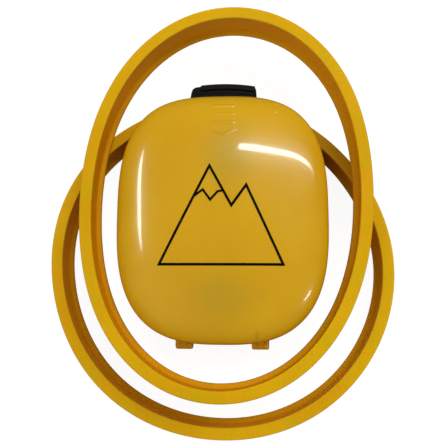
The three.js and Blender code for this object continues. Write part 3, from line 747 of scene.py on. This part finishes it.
def cut_seat_and_cavity(body):
    """Cuts the latch end back to the seat wall below the flange, and hollows the inside."""
    centre = (LOWER_X, LOWER_Y, 0)
    section = [(SEAT_R, -2), (80, -2), (80, SEAT_TOP), (SEAT_R, SEAT_TOP)]
    seat = lathe("seat", section, 320, "z", centre)
    cut(seat, box("latch_half", x=(-90, 90), y=(0, 90), z=(-3, 20)), "INTERSECT")
    cut(body, seat)
    cavity = shell_cavity()
    inside = cylinder("inside", SEAT_R - 1.8, -1, 20, 320, "z", centre)
    cut(cavity, inside, "INTERSECT")
    cut(body, cavity)


def cut_rim_groove(body):
    groove = skin_loops("groove", [shell_loop(1.3, z) for z in (13.4, 17)])
    core = skin_loops("core", [shell_loop(2.5, z) for z in (12, 19)])
    cut(body, cut(groove, core))


def add_floor_features(body):
    """Screw bosses and stiffening ribs."""
    for x, y in SCREWS:
        cut(body, lathe("boss", BOSS_PROFILE, 48, "z", (x, y, 0)), "UNION")
        cut(body, cylinder("screw_hole", 0.85, 2.5, 8, 32, "z", (x, y, 0)))
    for x in (-10.0, 10.0):
        cut(body, box("rib", x=(x - 0.5, x + 0.5), y=(-24, 22), z=(1.8, 3.6)), "UNION")
    for y in (-14.0, 12.0):
        cut(body, box("rib", x=(-22, 22), y=(y - 0.5, y + 0.5), z=(1.8, 3.4)), "UNION")


def add_hinge_fork(body, side):
    x = side * HINGE_X
    centre = (x, HINGE_Y, HINGE_Z)
    ends = []
    for degrees in range(0, 91, 18):
        a = math.radians(degrees)
        ends.append((KNUCKLE_R - FORK_ROUND + FORK_ROUND * math.sin(a),
                     -FORK_HALF + FORK_ROUND * (1 - math.cos(a))))
    profile = [(0, -FORK_HALF)] + ends + [(r, -h) for r, h in reversed(ends)] + [(0, FORK_HALF)]
    cut(body, lathe("lug", profile, 64, "x", centre), "UNION")
    web = box("web", x=(x - FORK_HALF + 0.05, x + FORK_HALF - 0.05),
              y=(HINGE_Y, HINGE_Y + 2.05), z=(HINGE_Z - KNUCKLE_R, HINGE_Z + KNUCKLE_R))
    cut(body, bevel(web, 0.2, 2), "UNION")
    # the gap for the cover's tongue, then the hole for the pin
    cut(body, cylinder("gap", KNUCKLE_R + 0.2, -1.1, 1.1, 64, "x", centre))
    cut(body, box("gap_top", x=(x - 1.1, x + 1.1), y=(HINGE_Y - 3, HINGE_Y + 1.5),
                  z=(HINGE_Z, SHELL_TOP + 1)))
    cut(body, cylinder("pin_hole", 0.72, -4, 4, 40, "x", centre))


def add_latch_guide(body, side):
    """A hooked rail on the rim, beside the latch."""
    guide = prism("guide", [(side * x, z) for x, z in GUIDE_OUTLINE], 33.8, 36.0, "y")
    face_outward(guide)
    cut(body, bevel(guide, 0.15, 2), "UNION")


def rounded_rect(half_x, half_y, radius, steps=10):
    points = []
    for sx, sy, start in ((1, -1, -90), (1, 1, 0), (-1, 1, 90), (-1, -1, 180)):
        for i in range(steps + 1):
            a = math.radians(start + 90 * i / steps)
            points.append((sx * (half_x - radius) + radius * math.cos(a),
                           sy * (half_y - radius) + radius * math.sin(a)))
    return points


def build_shell():
    body = shell_bowl()
    cut_seat_and_cavity(body)
    cut_rim_groove(body)
    add_floor_features(body)
    for side in (-1, 1):
        add_hinge_fork(body, side)
        add_latch_guide(body, side)
    # a shallow blank recess in the rear face
    cut(body, prism("recess", rounded_rect(14, 10, 3.0), -1, 0.35))
    return shade_smooth(body, 30)


add_part(build_shell(), shell_finish(), "housing", "rear_shell")


# ------------------------------------------------------------ rubber rings
LEDGE = 1.75                # height of the ledge at the foot of the channel
CHANNEL = 1.35              # depth of the channel
OUTER_ROUND, INNER_ROUND = 0.55, 0.35
BULGE = 0.10                # how far the outer face dips inward at mid height


def quarter(x, y, x_sign, y_sign, radius, degrees):
    """Points of a rounded corner about (x, y)."""
    return [(x + x_sign * radius * math.sin(math.radians(a)),
             y + y_sign * radius * math.cos(math.radians(a))) for a in degrees]


def ring_section():
    """(inward from the outer face, height): a strap with a shallow channel round its inside."""
    t, d, r, q = RING_T, RING_D, OUTER_ROUND, INNER_ROUND
    coarse, fine = (0, 22, 45, 67, 90), (0, 18, 36, 54, 72, 90)
    points = quarter(r, r, -1, -1, r, fine)
    points += [(BULGE * math.sin(math.pi * k / 8), r + (d - 2 * r) * k / 8) for k in range(1, 8)]
    points += quarter(r, d - r, -1, 1, r, fine[::-1])
    points += [(1.3, d), (2.5, d)]
    points += quarter(t - q, d - q, 1, 1, q, coarse)
    # into the channel, down its wall, and out over the ledge
    points += [(t - 0.04, d - 0.85), (t - 0.30, d - 1.10),
               (t - CHANNEL + 0.3, d - 1.25), (t - CHANNEL + 0.05, d - 1.45)]
    points += [(t - CHANNEL, d - 1.8 - (d - 1.8 - LEDGE - 0.45) * k / 6) for k in range(7)]
    points += [(t - CHANNEL + 0.06, LEDGE + 0.20), (t - CHANNEL + 0.24, LEDGE + 0.04),
               (t - CHANNEL + 0.45, LEDGE - 0.02), (t - 0.42, LEDGE - 0.15),
               (t - 0.18, LEDGE - 0.26), (t - 0.04, LEDGE - 0.42), (t, LEDGE - 0.65)]
    points += quarter(t - q, q, 1, -1, q, coarse[::-1])
    points += [(2.5, 0.0), (1.3, 0.0)]
    return points


def channel_shade_weight(inward, height):
    """Weight of the painted channel shade: 1 on the channel's wall, 0.5 on the ledge below it, 0
    elsewhere.
    """
    if inward > RING_T - CHANNEL - 0.1:
        if LEDGE + 0.3 < height < RING_D - 0.95:
            return 1.0
        if 0.2 < height < LEDGE + 0.3:
            return 0.5
    return 0.0


def build_ring(name, centre_x, centre_y, foot_z, mean_radius, waves, steps=480):
    def path(angle):
        radius = mean_radius + sum(c * math.cos((i + 2) * angle) + s * math.sin((i + 2) * angle)
                                   for i, (c, s) in enumerate(waves))
        return radius * math.cos(angle), radius * math.sin(angle)

    section = ring_section()
    count = len(section)
    verts, faces = [], []
    for i in range(steps):
        angle = 2 * math.pi * i / steps
        x, y = path(angle)
        x0, y0 = path(angle - 0.002)
        x1, y1 = path(angle + 0.002)
        length = math.hypot(x1 - x0, y1 - y0)
        for inward, height in section:
            verts.append((x - inward * (y1 - y0) / length + centre_x,
                          y + inward * (x1 - x0) / length + centre_y, height + foot_z))
    for i in range(steps):
        j = (i + 1) % steps
        for k in range(count):
            m = (k + 1) % count
            faces.append((i * count + k, i * count + m, j * count + m, j * count + k))
    ob = face_outward(mesh_object(name, verts, faces))
    wall = ob.data.attributes.new("wall", "FLOAT", "POINT")
    wall.data.foreach_set("value", [channel_shade_weight(*point) for point in section] * steps)
    return shade_smooth(ob, 45)


for which, *shape in RINGS:
    ring = build_ring(f"carry_ring_{which}", *shape)
    rubber = rubber_finish(f"ring_rubber_{which}", foot_z=shape[2], shaded_by_upper=which == "lower")
    add_part(ring, rubber, f"{which}_ring", f"rubber_ring_{which}")


# ------------------------------------------------------------------- latch
LATCH_BARS = (
    # distance behind the pushing edge, width, top z, left x, right x
    (0.0, 1.75, 18.0, -7.1, LATCH_HALF - 0.05),
    (2.35, 0.75, 17.55, -LATCH_HALF + 0.8, LATCH_HALF),
    (3.5, 0.7, 17.5, -LATCH_HALF + 0.8, LATCH_HALF),
)
ARC_STEPS = 72


def latch_arc_y(x, radius):
    return LATCH_OUT - LATCH_ARC + math.sqrt(radius * radius - x * x)


def latch_slab():
    """The curved front slab, its two outer corners rounded."""
    left, right = -LATCH_HALF + 0.3, LATCH_HALF + 0.3
    corners = ((right, 0.8), (left, 1.8))       # x, radius
    points = []
    for i in range(ARC_STEPS + 1):
        x = right - (right - left) * i / ARC_STEPS
        y = latch_arc_y(x, LATCH_ARC - 0.10)
        for end, radius in corners:
            gap = abs(end - x)
            if gap < radius:
                y -= radius - math.sqrt(max(0.0, radius * radius - (radius - gap) ** 2))
        points.append((x, y))
    points += [(left - 0.25, 39.4), (right + 0.2, 39.4)]
    return bevel(prism("release_thumb_latch", points, 14.9, 17.35), 0.22, 3, 45)


def latch_bar(back, width, top, left, right):
    outer, inner = LATCH_ARC - back, LATCH_ARC - back - width
    leftward = [right - (right - left) * i / ARC_STEPS for i in range(ARC_STEPS + 1)]
    rightward = [left + (right - left) * i / ARC_STEPS for i in range(ARC_STEPS + 1)]
    points = [(x, latch_arc_y(x, outer)) for x in leftward]
    points += [(x, latch_arc_y(x, inner)) for x in rightward]
    return bevel(prism("bar", points, 16.4, top), 0.3, 3, 60)


def build_latch():
    ob = latch_slab()
    # the pushing edge stands highest, and stops short of the left end
    for bar in LATCH_BARS:
        cut(ob, latch_bar(*bar), "UNION")
    plate = box("plate", x=(-8.6, 8.6), y=(31.2, 39.8), z=(14.8, 16.3))
    cut(ob, bevel(plate, 0.15, 2), "UNION")
    block = box("block", x=(-2.6, 2.6), y=(30.6, 31.6), z=(13.9, 17.3))
    cut(ob, bevel(block, 0.12, 2), "UNION")
    nose_outline = [(31.5, 16.0), (32.4, 16.0), (32.4, 16.55), (32.15, 17.0), (31.5, 17.0)]
    cut(ob, prism("nose", nose_outline, -2.2, 2.2, "x"), "UNION")
    return shade_smooth(ob, 40)


latch_black = black_finish("latch_black", colour=(0.0048, 0.0046, 0.0032), rough=0.52)
add_part(build_latch(), latch_black, "latch", "release_latch")


# ---------------------------------------------------------- inner materials
def metal(name, colour, rough, brushed):
    """Metal with fine lines along the brushed axis."""
    mat = MaterialNodes(name)
    stretch = {"x": (0.06, 1, 1), "y": (1, 0.06, 1), "z": (1, 1, 0.06)}[brushed]
    lines = mat.noise(scale=2600.0, detail=3.0, rough=0.6, stretch=stretch)
    tarnish = mat.mottle(scale=220.0, detail=4.0, span=(0.35, 0.75))
    mat.set(
        Base_Color=mat.mix(tarnish, base=colour, colour=tuple(c * 0.75 for c in colour)),
        Roughness=mat.remap(lines, span=(0.3, 0.7), to=(rough + 0.04, rough + 0.22)),
        Normal=mat.bump(lines, strength=0.08, distance=0.00002),
        Metallic=0.70)
    return mat.material


def plastic(name, colour, rough, grain=1400.0):
    mat = MaterialNodes(name)
    mat.set(
        Base_Color=mat.mix(mat.mottle(scale=260.0, detail=4.0, span=(0.35, 0.7)),
                           base=colour, colour=tuple(c * 1.25 for c in colour)),
        Roughness=mat.mottle(scale=500.0, detail=3.0, span=(0.3, 0.7),
                             to=(rough - 0.08, rough + 0.08)),
        Normal=mat.bump(mat.noise(scale=grain, detail=2.0), strength=0.2, distance=0.00003),
        Coat_Weight=0.0, Coat_Roughness=0.1)
    return mat.material


def board_finish():
    mat = MaterialNodes("board_solder_mask")
    x, y, _ = mat.xyz()

    def gated_lines(value, gate):
        """Evenly spaced thin lines, shown where gate is 1."""
        phase = mat.math("FRACT", mat.math("MULTIPLY", value, 620.0))
        offset = mat.math("ABSOLUTE", mat.math("SUBTRACT", phase, 0.5))
        return mat.math("MULTIPLY", mat.remap(offset, span=(0.14, 0.10)), gate)

    # copper tracks under the mask: a grid of thin lines switched on and off by noise
    tracks = mat.math("MAXIMUM",
                      gated_lines(x, mat.mottle(scale=140.0, detail=0.0, span=(0.50, 0.52))),
                      gated_lines(y, mat.mottle(scale=95.0, detail=1.0, span=(0.52, 0.50))))
    pour = mat.mottle(scale=55.0, detail=1.0, span=(0.54, 0.55))
    copper = mat.math("MAXIMUM", mat.math("MULTIPLY", tracks, 0.8),
                      mat.math("MULTIPLY", pour, 0.55))
    base = mat.mix(copper, base=(0.010, 0.075, 0.028), colour=(0.030, 0.160, 0.055))
    # bare pads
    dots = mat.texture("ShaderNodeTexVoronoi", "Distance", Scale=330.0)
    pads = mat.math("MULTIPLY", mat.remap(dots, span=(0.20, 0.16)),
                    mat.mottle(scale=120.0, detail=0.0, span=(0.55, 0.57)))
    grain = mat.math("MULTIPLY", mat.noise(scale=2500.0, detail=2.0), 0.15)
    mat.set(
        Base_Color=mat.mix(pads, base, colour=(0.66, 0.60, 0.45)),
        Roughness=mat.remap(pads, span=(0.0, 1.0), to=(0.30, 0.38)),
        Metallic=mat.math("MULTIPLY", pads, 0.9),
        Normal=mat.bump(mat.math("ADD", copper, grain), strength=0.25, distance=0.00003))
    return mat.material


def cell_finish():
    """A plain sleeve: pale jacket with one dark band and a bare rim at each end."""
    mat = MaterialNodes("cell_sleeve")
    _, y, _ = mat.xyz()
    base = mat.mix(mat.band(y, rise=(9.0, 9.3), fall=(19.4, 19.1)),
                   base=(0.62, 0.56, 0.31), colour=(0.035, 0.036, 0.038))
    ends = mat.math("MAXIMUM", mat.step(y, start=20.9, end=21.1),
                    mat.step(y, start=-21.6, end=-21.8))
    base = mat.mix(ends, base, colour=(0.62, 0.62, 0.63))
    stain = mat.mottle(scale=300.0, detail=4.0, span=(0.5, 0.8), to=(0.0, 0.3))
    mat.set(
        Base_Color=mat.mix(stain, base, colour=(0.30, 0.27, 0.17)),
        Metallic=mat.math("MULTIPLY", ends, 0.95),
        Roughness=mat.mottle(scale=500.0, detail=3.0, span=(0.3, 0.7), to=(0.22, 0.36)),
        Normal=mat.bump(mat.noise(scale=900.0, detail=2.0), strength=0.08, distance=0.00003),
        Coat_Weight=0.4, Coat_Roughness=0.15)
    return mat.material


def winding_finish():
    mat = MaterialNodes("winding_enamel")
    wave = mat.node("ShaderNodeTexWave", bands_direction="Y")
    for name, value in (("Scale", 560.0), ("Distortion", 0.15), ("Vector", mat.position())):
        mat.feed(wave.inputs[name], value)
    turns = wave.outputs["Fac"]
    mat.set(
        Base_Color=mat.mix(turns, base=(0.20, 0.055, 0.015), colour=(0.66, 0.26, 0.09)),
        Roughness=mat.remap(turns, span=(0.0, 1.0), to=(0.42, 0.24)),
        Normal=mat.bump(turns, strength=0.7, distance=0.00012),
        Metallic=0.85)
    return mat.material


def chip_finish():
    """Dark resin with a pale dot, and bare metal outside the body for the legs."""
    mat = MaterialNodes("chip_resin")
    x, y, _ = mat.xyz()
    body = mat.math("MULTIPLY", mat.band(x, rise=(11.45, 11.5), fall=(20.55, 20.5)),
                    mat.band(y, rise=(4.65, 4.7), fall=(13.75, 13.7)))
    squares = [mat.math("POWER", mat.math("SUBTRACT", value, middle * MM), 2.0)
               for value, middle in ((x, 12.7), (y, 12.5))]
    from_dot = mat.math("SQRT", mat.math("ADD", *squares))
    resin = mat.mix(mat.step(from_dot, start=0.55, end=0.5),
                    base=(0.016, 0.016, 0.018), colour=(0.05, 0.05, 0.052))
    mat.set(
        Base_Color=mat.mix(body, base=(0.62, 0.62, 0.62), colour=resin),
        Metallic=mat.remap(body, span=(0.0, 1.0), to=(0.95, 0.0)),
        Roughness=mat.mottle(scale=900.0, detail=3.0, span=(0.3, 0.7), to=(0.38, 0.55)),
        Normal=mat.bump(mat.noise(scale=3000.0, detail=2.0), strength=0.2, distance=0.00003))
    return mat.material


def electrolytic_finish():
    """A blue sleeve with a pale stripe on its -X side and a bare metal top."""
    mat = MaterialNodes("electrolytic_sleeve")
    x, y, z = mat.xyz()
    top = mat.step(z, start=13.4, end=13.5)
    from_stripe = mat.math("ABSOLUTE", mat.math("SUBTRACT", y, -12.0 * MM))
    stripe = mat.math("MULTIPLY", mat.step(x, start=20.2, end=20.0),
                      mat.step(from_stripe, start=1.1, end=1.0))
    base = mat.mix(stripe, base=(0.020, 0.036, 0.085), colour=(0.42, 0.45, 0.50))
    mat.set(
        Base_Color=mat.mix(top, base, colour=(0.66, 0.66, 0.67)),
        Metallic=top,
        Roughness=mat.mottle(scale=600.0, detail=3.0, span=(0.3, 0.7), to=(0.28, 0.42)))
    return mat.material


def led_finish():
    mat = MaterialNodes("led_lens")
    mat.set(
        Base_Color=mat.mix(mat.mottle(scale=400.0, detail=2.0, span=(0.3, 0.7)),
                           base=(0.72, 0.80, 0.76), colour=(0.86, 0.92, 0.88)),
        Roughness=mat.mottle(scale=900.0, detail=2.0, span=(0.3, 0.7), to=(0.08, 0.16)),
        Transmission_Weight=0.55, IOR=1.5, Coat_Weight=0.5)
    return mat.material


METALS = (
    # material, colour, roughness, brushed axis, pieces
    ("pin_steel", (0.62, 0.63, 0.65), 0.25, "x", ("hinge_pin_left", "hinge_pin_right")),
    ("contact_wire", (0.66, 0.66, 0.64), 0.22, "y", ("contact_spring",)),
    ("contact_sheet", (0.66, 0.66, 0.64), 0.25, "x", ("contact_plate",)),
    ("lead_copper", (0.60, 0.26, 0.10), 0.3, "z", ("antenna_lead_1", "antenna_lead_2")),
    ("crystal_steel", (0.62, 0.63, 0.64), 0.24, "x", ("crystal_can",)),
    ("switch_can", (0.60, 0.61, 0.62), 0.3, "x", ("switch_body",)),
    ("button_can", (0.58, 0.59, 0.60), 0.3, "y", ("button_body",)),
    ("screw_zinc_1", (0.60, 0.60, 0.58), 0.28, "x",
     tuple(f"board_screw_{k}" for k in range(1, 5))),
)
PLASTICS = (
    # material, colour, roughness, pieces
    ("holder_black", (0.014, 0.015, 0.016), 0.5, ("battery_holder",)),
    ("cradle_black", (0.018, 0.019, 0.02), 0.5, ("rod_cradle_front", "rod_cradle_rear")),
    ("bobbin_cream", (0.64, 0.58, 0.44), 0.5, ("antenna_bobbin",)),
    ("choke_brown", (0.055, 0.030, 0.016), 0.45, ("choke_inductor",)),
    ("capacitor_tan", (0.34, 0.20, 0.08), 0.45, ("tuning_capacitor_1", "tuning_capacitor_2")),
    ("transistor_black", (0.012, 0.012, 0.013), 0.45, ("driver_transistor",)),
    ("button_black", (0.014, 0.014, 0.015), 0.4, ("button_plunger",)),
)
# Bevel widths of the inner pieces that get one.
EDGES = {
    "battery_holder": 0.25, "rod_cradle_front": 0.2, "rod_cradle_rear": 0.2,
    "microcontroller": 0.05, "crystal_can": 0.4, "tuning_capacitor_1": 0.15,
    "tuning_capacitor_2": 0.15, "driver_transistor": 0.2, "switch_body": 0.15,
    "button_body": 0.15, "switch_slider": 0.15, "circuit_board": 0.08, "contact_plate": 0.05}


def dress_inner_pieces():
    finishes = {
        "circuit_board": board_finish(),
        "battery_cell": cell_finish(),
        "antenna_winding": winding_finish(),
        "rim_gasket": black_finish("gasket_rubber", colour=(0.012, 0.012, 0.013), rough=0.75),
        "ferrite_rod": plastic("ferrite_grey", colour=(0.030, 0.030, 0.033), rough=0.6,
                               grain=2200.0),
        "switch_slider": latch_black,
        "microcontroller": chip_finish(),
        "reservoir_capacitor": electrolytic_finish(),
        "status_led": led_finish(),
    }
    for kind, table in ((metal, METALS), (plastic, PLASTICS)):
        for *look, pieces in table:
            finishes.update(dict.fromkeys(pieces, kind(*look)))
    for piece, material in finishes.items():
        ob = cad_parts[piece]
        paint(ob, material)
        ob.data.polygons.foreach_set("use_smooth", [True] * len(ob.data.polygons))
        if piece in EDGES:
            add_bevel(ob, EDGES[piece], segments=3, angle=40)


dress_inner_pieces()


# ------------------------------------------------------------ latch spring
SPRING_Y0, SPRING_Y1, SPRING_Z = 26.9, 30.2, 15.6
COIL_R, WIRE_R, TURN_COUNT = 1.5, 0.25, 3.5
FLAT_PART = 0.16            # share of the wire, both ends together, that lies flat


def coil_point(t):
    """Middle of the wire at t from 0 to 1."""
    a = 2 * math.pi * TURN_COUNT * t
    if t < FLAT_PART * 0.5:
        rise = 0.0
    elif t > 1 - FLAT_PART * 0.5:
        rise = 1.0
    else:
        rise = (t - FLAT_PART * 0.5) / (1 - FLAT_PART)
    rise = rise * rise * (3 - 2 * rise) * 0.35 + rise * 0.65
    y = SPRING_Y0 + WIRE_R + (SPRING_Y1 - SPRING_Y0 - 2 * WIRE_R) * rise
    return Vector((COIL_R * math.cos(a), y, SPRING_Z + COIL_R * math.sin(a)))


def build_spring(steps=260, sides=14):
    """A coil along Y whose first and last turns close up and lie flat."""
    verts, faces = [], []
    for i in range(steps + 1):
        t = i / steps
        centre = coil_point(t)
        along = coil_point(min(1.0, t + 0.002)) - coil_point(max(0.0, t - 0.002))
        out = Vector((centre.x, 0, centre.z - SPRING_Z)).normalized()
        across = along.normalized().cross(out).normalized()
        for k in range(sides):
            a = 2 * math.pi * k / sides
            verts.append(tuple(centre + (out * math.cos(a) + across * math.sin(a)) * WIRE_R))
    for i in range(steps):
        for k in range(sides):
            j = (k + 1) % sides
            faces.append((i * sides + k, i * sides + j, (i + 1) * sides + j, (i + 1) * sides + k))
    faces.append(tuple(reversed(range(sides))))
    faces.append(tuple(steps * sides + k for k in range(sides)))
    return shade_smooth(face_outward(mesh_object("latch_return_spring", verts, faces)), 50)


spring = build_spring()
paint(spring, metal("spring_wire", colour=(0.60, 0.61, 0.63), rough=0.25, brushed="y"))
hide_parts("latch_spring")
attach(spring, "housing")
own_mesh(spring)


# --------------------------------------------------- floor, camera, lights
def build_floor():
    reach = 3000
    corners = [(-reach, -reach, 0), (reach, -reach, 0), (reach, reach, 0), (-reach, reach, 0)]
    floor = mesh_object("studio_floor", corners, [(0, 1, 2, 3)])
    mat = MaterialNodes("studio_floor_paper")
    # the paper bounces a lot of light into soft surfaces, little into polished ones,
    # and glows for the camera, so shadows on it stay faint
    rays = mat.node("ShaderNodeLightPath").outputs
    seen = rays["Is Camera Ray"]
    paper = mat.mix(mat.mottle(scale=3.0, detail=2.0, span=(0.3, 0.7)),
                    base=(0.80, 0.80, 0.80), colour=(0.84, 0.84, 0.84))
    paper = mat.mix(rays["Is Glossy Ray"], paper, colour=(0.05, 0.05, 0.05))
    mat.set(
        Base_Color=mat.mix(seen, paper, colour=(0.13, 0.13, 0.13)),
        Roughness=0.9, Specular_IOR_Level=0.0, Emission_Color=(1, 1, 1),
        Emission_Strength=mat.remap(seen, span=(0.0, 1.0), to=(0.0, 0.92)))
    paint(floor, mat.material)


def add_camera():
    """Looks almost straight down, leaning a little from the hinge end."""
    lens = bpy.data.cameras.new("camera")
    lens.lens = 38.9732143
    lens.sensor_width = 36.0
    lens.clip_start = 0.001
    lens.clip_end = 50.0
    camera = bpy.data.objects.new("camera", lens)
    bpy.context.scene.collection.objects.link(camera)
    # columns: the camera's x, y and z directions, then its place
    camera.matrix_world = Matrix(((0.998920, 0.001839, 0.046416, 7.695 * MM),
                                  (0.003762, 0.992730, -0.120302, -20.371 * MM),
                                  (-0.046300, 0.120347, 0.991652, 169.0 * MM),
                                  (0.0, 0.0, 0.0, 1.0)))
    bpy.context.scene.camera = camera


def area_light(name, size, radiance):
    """A rectangular light; radiance 1 is as bright as a fully lit white sheet."""
    light = bpy.data.lights.new(name, "AREA")
    light.shape = "RECTANGLE"
    light.size, light.size_y = size
    light.energy = radiance * size[0] * size[1] * math.pi
    lamp = bpy.data.objects.new(name, light)
    bpy.context.scene.collection.objects.link(lamp)
    return lamp


def soft_light(name, at, size, radiance):
    """A broad light facing the origin, left out of reflections."""
    lamp = area_light(name, size, radiance)
    lamp.location = at
    lamp.rotation_euler = (-Vector(at)).to_track_quat("-Z", "Y").to_euler()
    lamp.visible_glossy = False


def strip(name, start, end, width, radiance):
    """A straight strip light from start to end, facing the case."""
    start, end, target = Vector(start), Vector(end), Vector((0, 0, 0.02))
    along = (end - start).normalized()
    middle = (start + end) / 2
    away = middle - target
    away = (away - along * away.dot(along)).normalized()
    lamp = area_light(name, ((end - start).length, width), radiance)
    pose = Matrix((along, away.cross(along), away)).transposed().to_4x4()
    pose.translation = middle
    lamp.matrix_world = pose


def point_along(points, distance):
    for i in range(len(points) - 1):
        (x0, y0), (x1, y1) = points[i], points[i + 1]
        length = math.dist(points[i], points[i + 1])
        if distance <= length or i == len(points) - 2:
            t = min(1.0, distance / length)
            return x0 + (x1 - x0) * t, y0 + (y1 - y0) * t
        distance -= length


def tube(name, points, height, radiance, width, head, tail):
    """A bent strip light at one height, thinning out over the head and tail lengths."""
    lengths = [math.dist(points[i], points[i + 1]) for i in range(len(points) - 1)]
    total = sum(lengths)
    stops = {0.0, total}
    run = 0.0
    for length in lengths:
        run += length
        stops.add(min(run, total))
    for k in range(1, 6):
        if head > 0:
            stops.add(head * k / 5)
        if tail > 0:
            stops.add(total - tail * k / 5)
    stops = sorted(stops)
    for k in range(len(stops) - 1):
        start, end = stops[k], stops[k + 1]
        if end - start < 1e-4:
            continue
        middle = (start + end) / 2
        share = 1.0
        if head > 0:
            share = min(share, (middle / head) ** 0.7)
        if tail > 0:
            share = min(share, ((total - middle) / tail) ** 0.7)
        strip(f"{name}_{k}", (*point_along(points, start), height),
              (*point_along(points, end), height), width * share, radiance)


def add_lights():
    tube("tube_top_right",
         [(0.017, 0.273), (0.062, 0.265), (0.107, 0.261), (0.161, 0.258), (0.233, 0.261),
          (0.346, 0.269), (0.460, 0.277), (0.576, 0.279), (0.736, 0.272)],
         height=0.52, radiance=20.0, width=0.026, head=0.0, tail=0.30)
    tube("tube_left",
         [(-0.317, 0.238), (-0.319, 0.157), (-0.308, 0.081), (-0.295, 0.040), (-0.268, -0.015)],
         height=0.34, radiance=14.0, width=0.030, head=0.07, tail=0.08)
    tube("lamp_low_right", [(0.227, -0.147), (0.276, -0.155), (0.358, -0.159)],
         height=0.20, radiance=15.0, width=0.024, head=0.05, tail=0.02)
    soft_light("soft_key", at=(0.38, 0.50, 0.92), size=(0.85, 0.7), radiance=3.85)
    soft_light("soft_fill", at=(-0.55, -0.42, 0.75), size=(0.8, 0.8), radiance=1.25)


def set_world():
    fill, mirrored, backdrop = 0.36, 0.03, 0.97     # strengths for soft, glossy, camera rays
    world = bpy.data.worlds.new("studio_world")
    world.use_nodes = True
    nodes, links = world.node_tree.nodes, world.node_tree.links
    background = nodes["Background"]
    background.inputs[0].default_value = (1, 1, 1, 1)
    rays = nodes.new("ShaderNodeLightPath").outputs
    level = nodes.new("ShaderNodeMapRange")
    level.inputs[3].default_value = fill
    level.inputs[4].default_value = mirrored
    links.new(rays["Is Glossy Ray"], level.inputs[0])
    seen = nodes.new("ShaderNodeMix")
    seen.data_type = "FLOAT"
    seen.inputs[3].default_value = backdrop
    links.new(rays["Is Camera Ray"], seen.inputs[0])
    links.new(level.outputs[0], seen.inputs[2])
    links.new(seen.outputs[0], background.inputs[1])
    world.cycles.sampling_method = "NONE"
    bpy.context.scene.world = world


build_floor()
add_camera()
add_lights()
set_world()
view = bpy.context.scene.view_settings
view.view_transform = "Standard"
view.look = "None"
view.exposure = 0.0
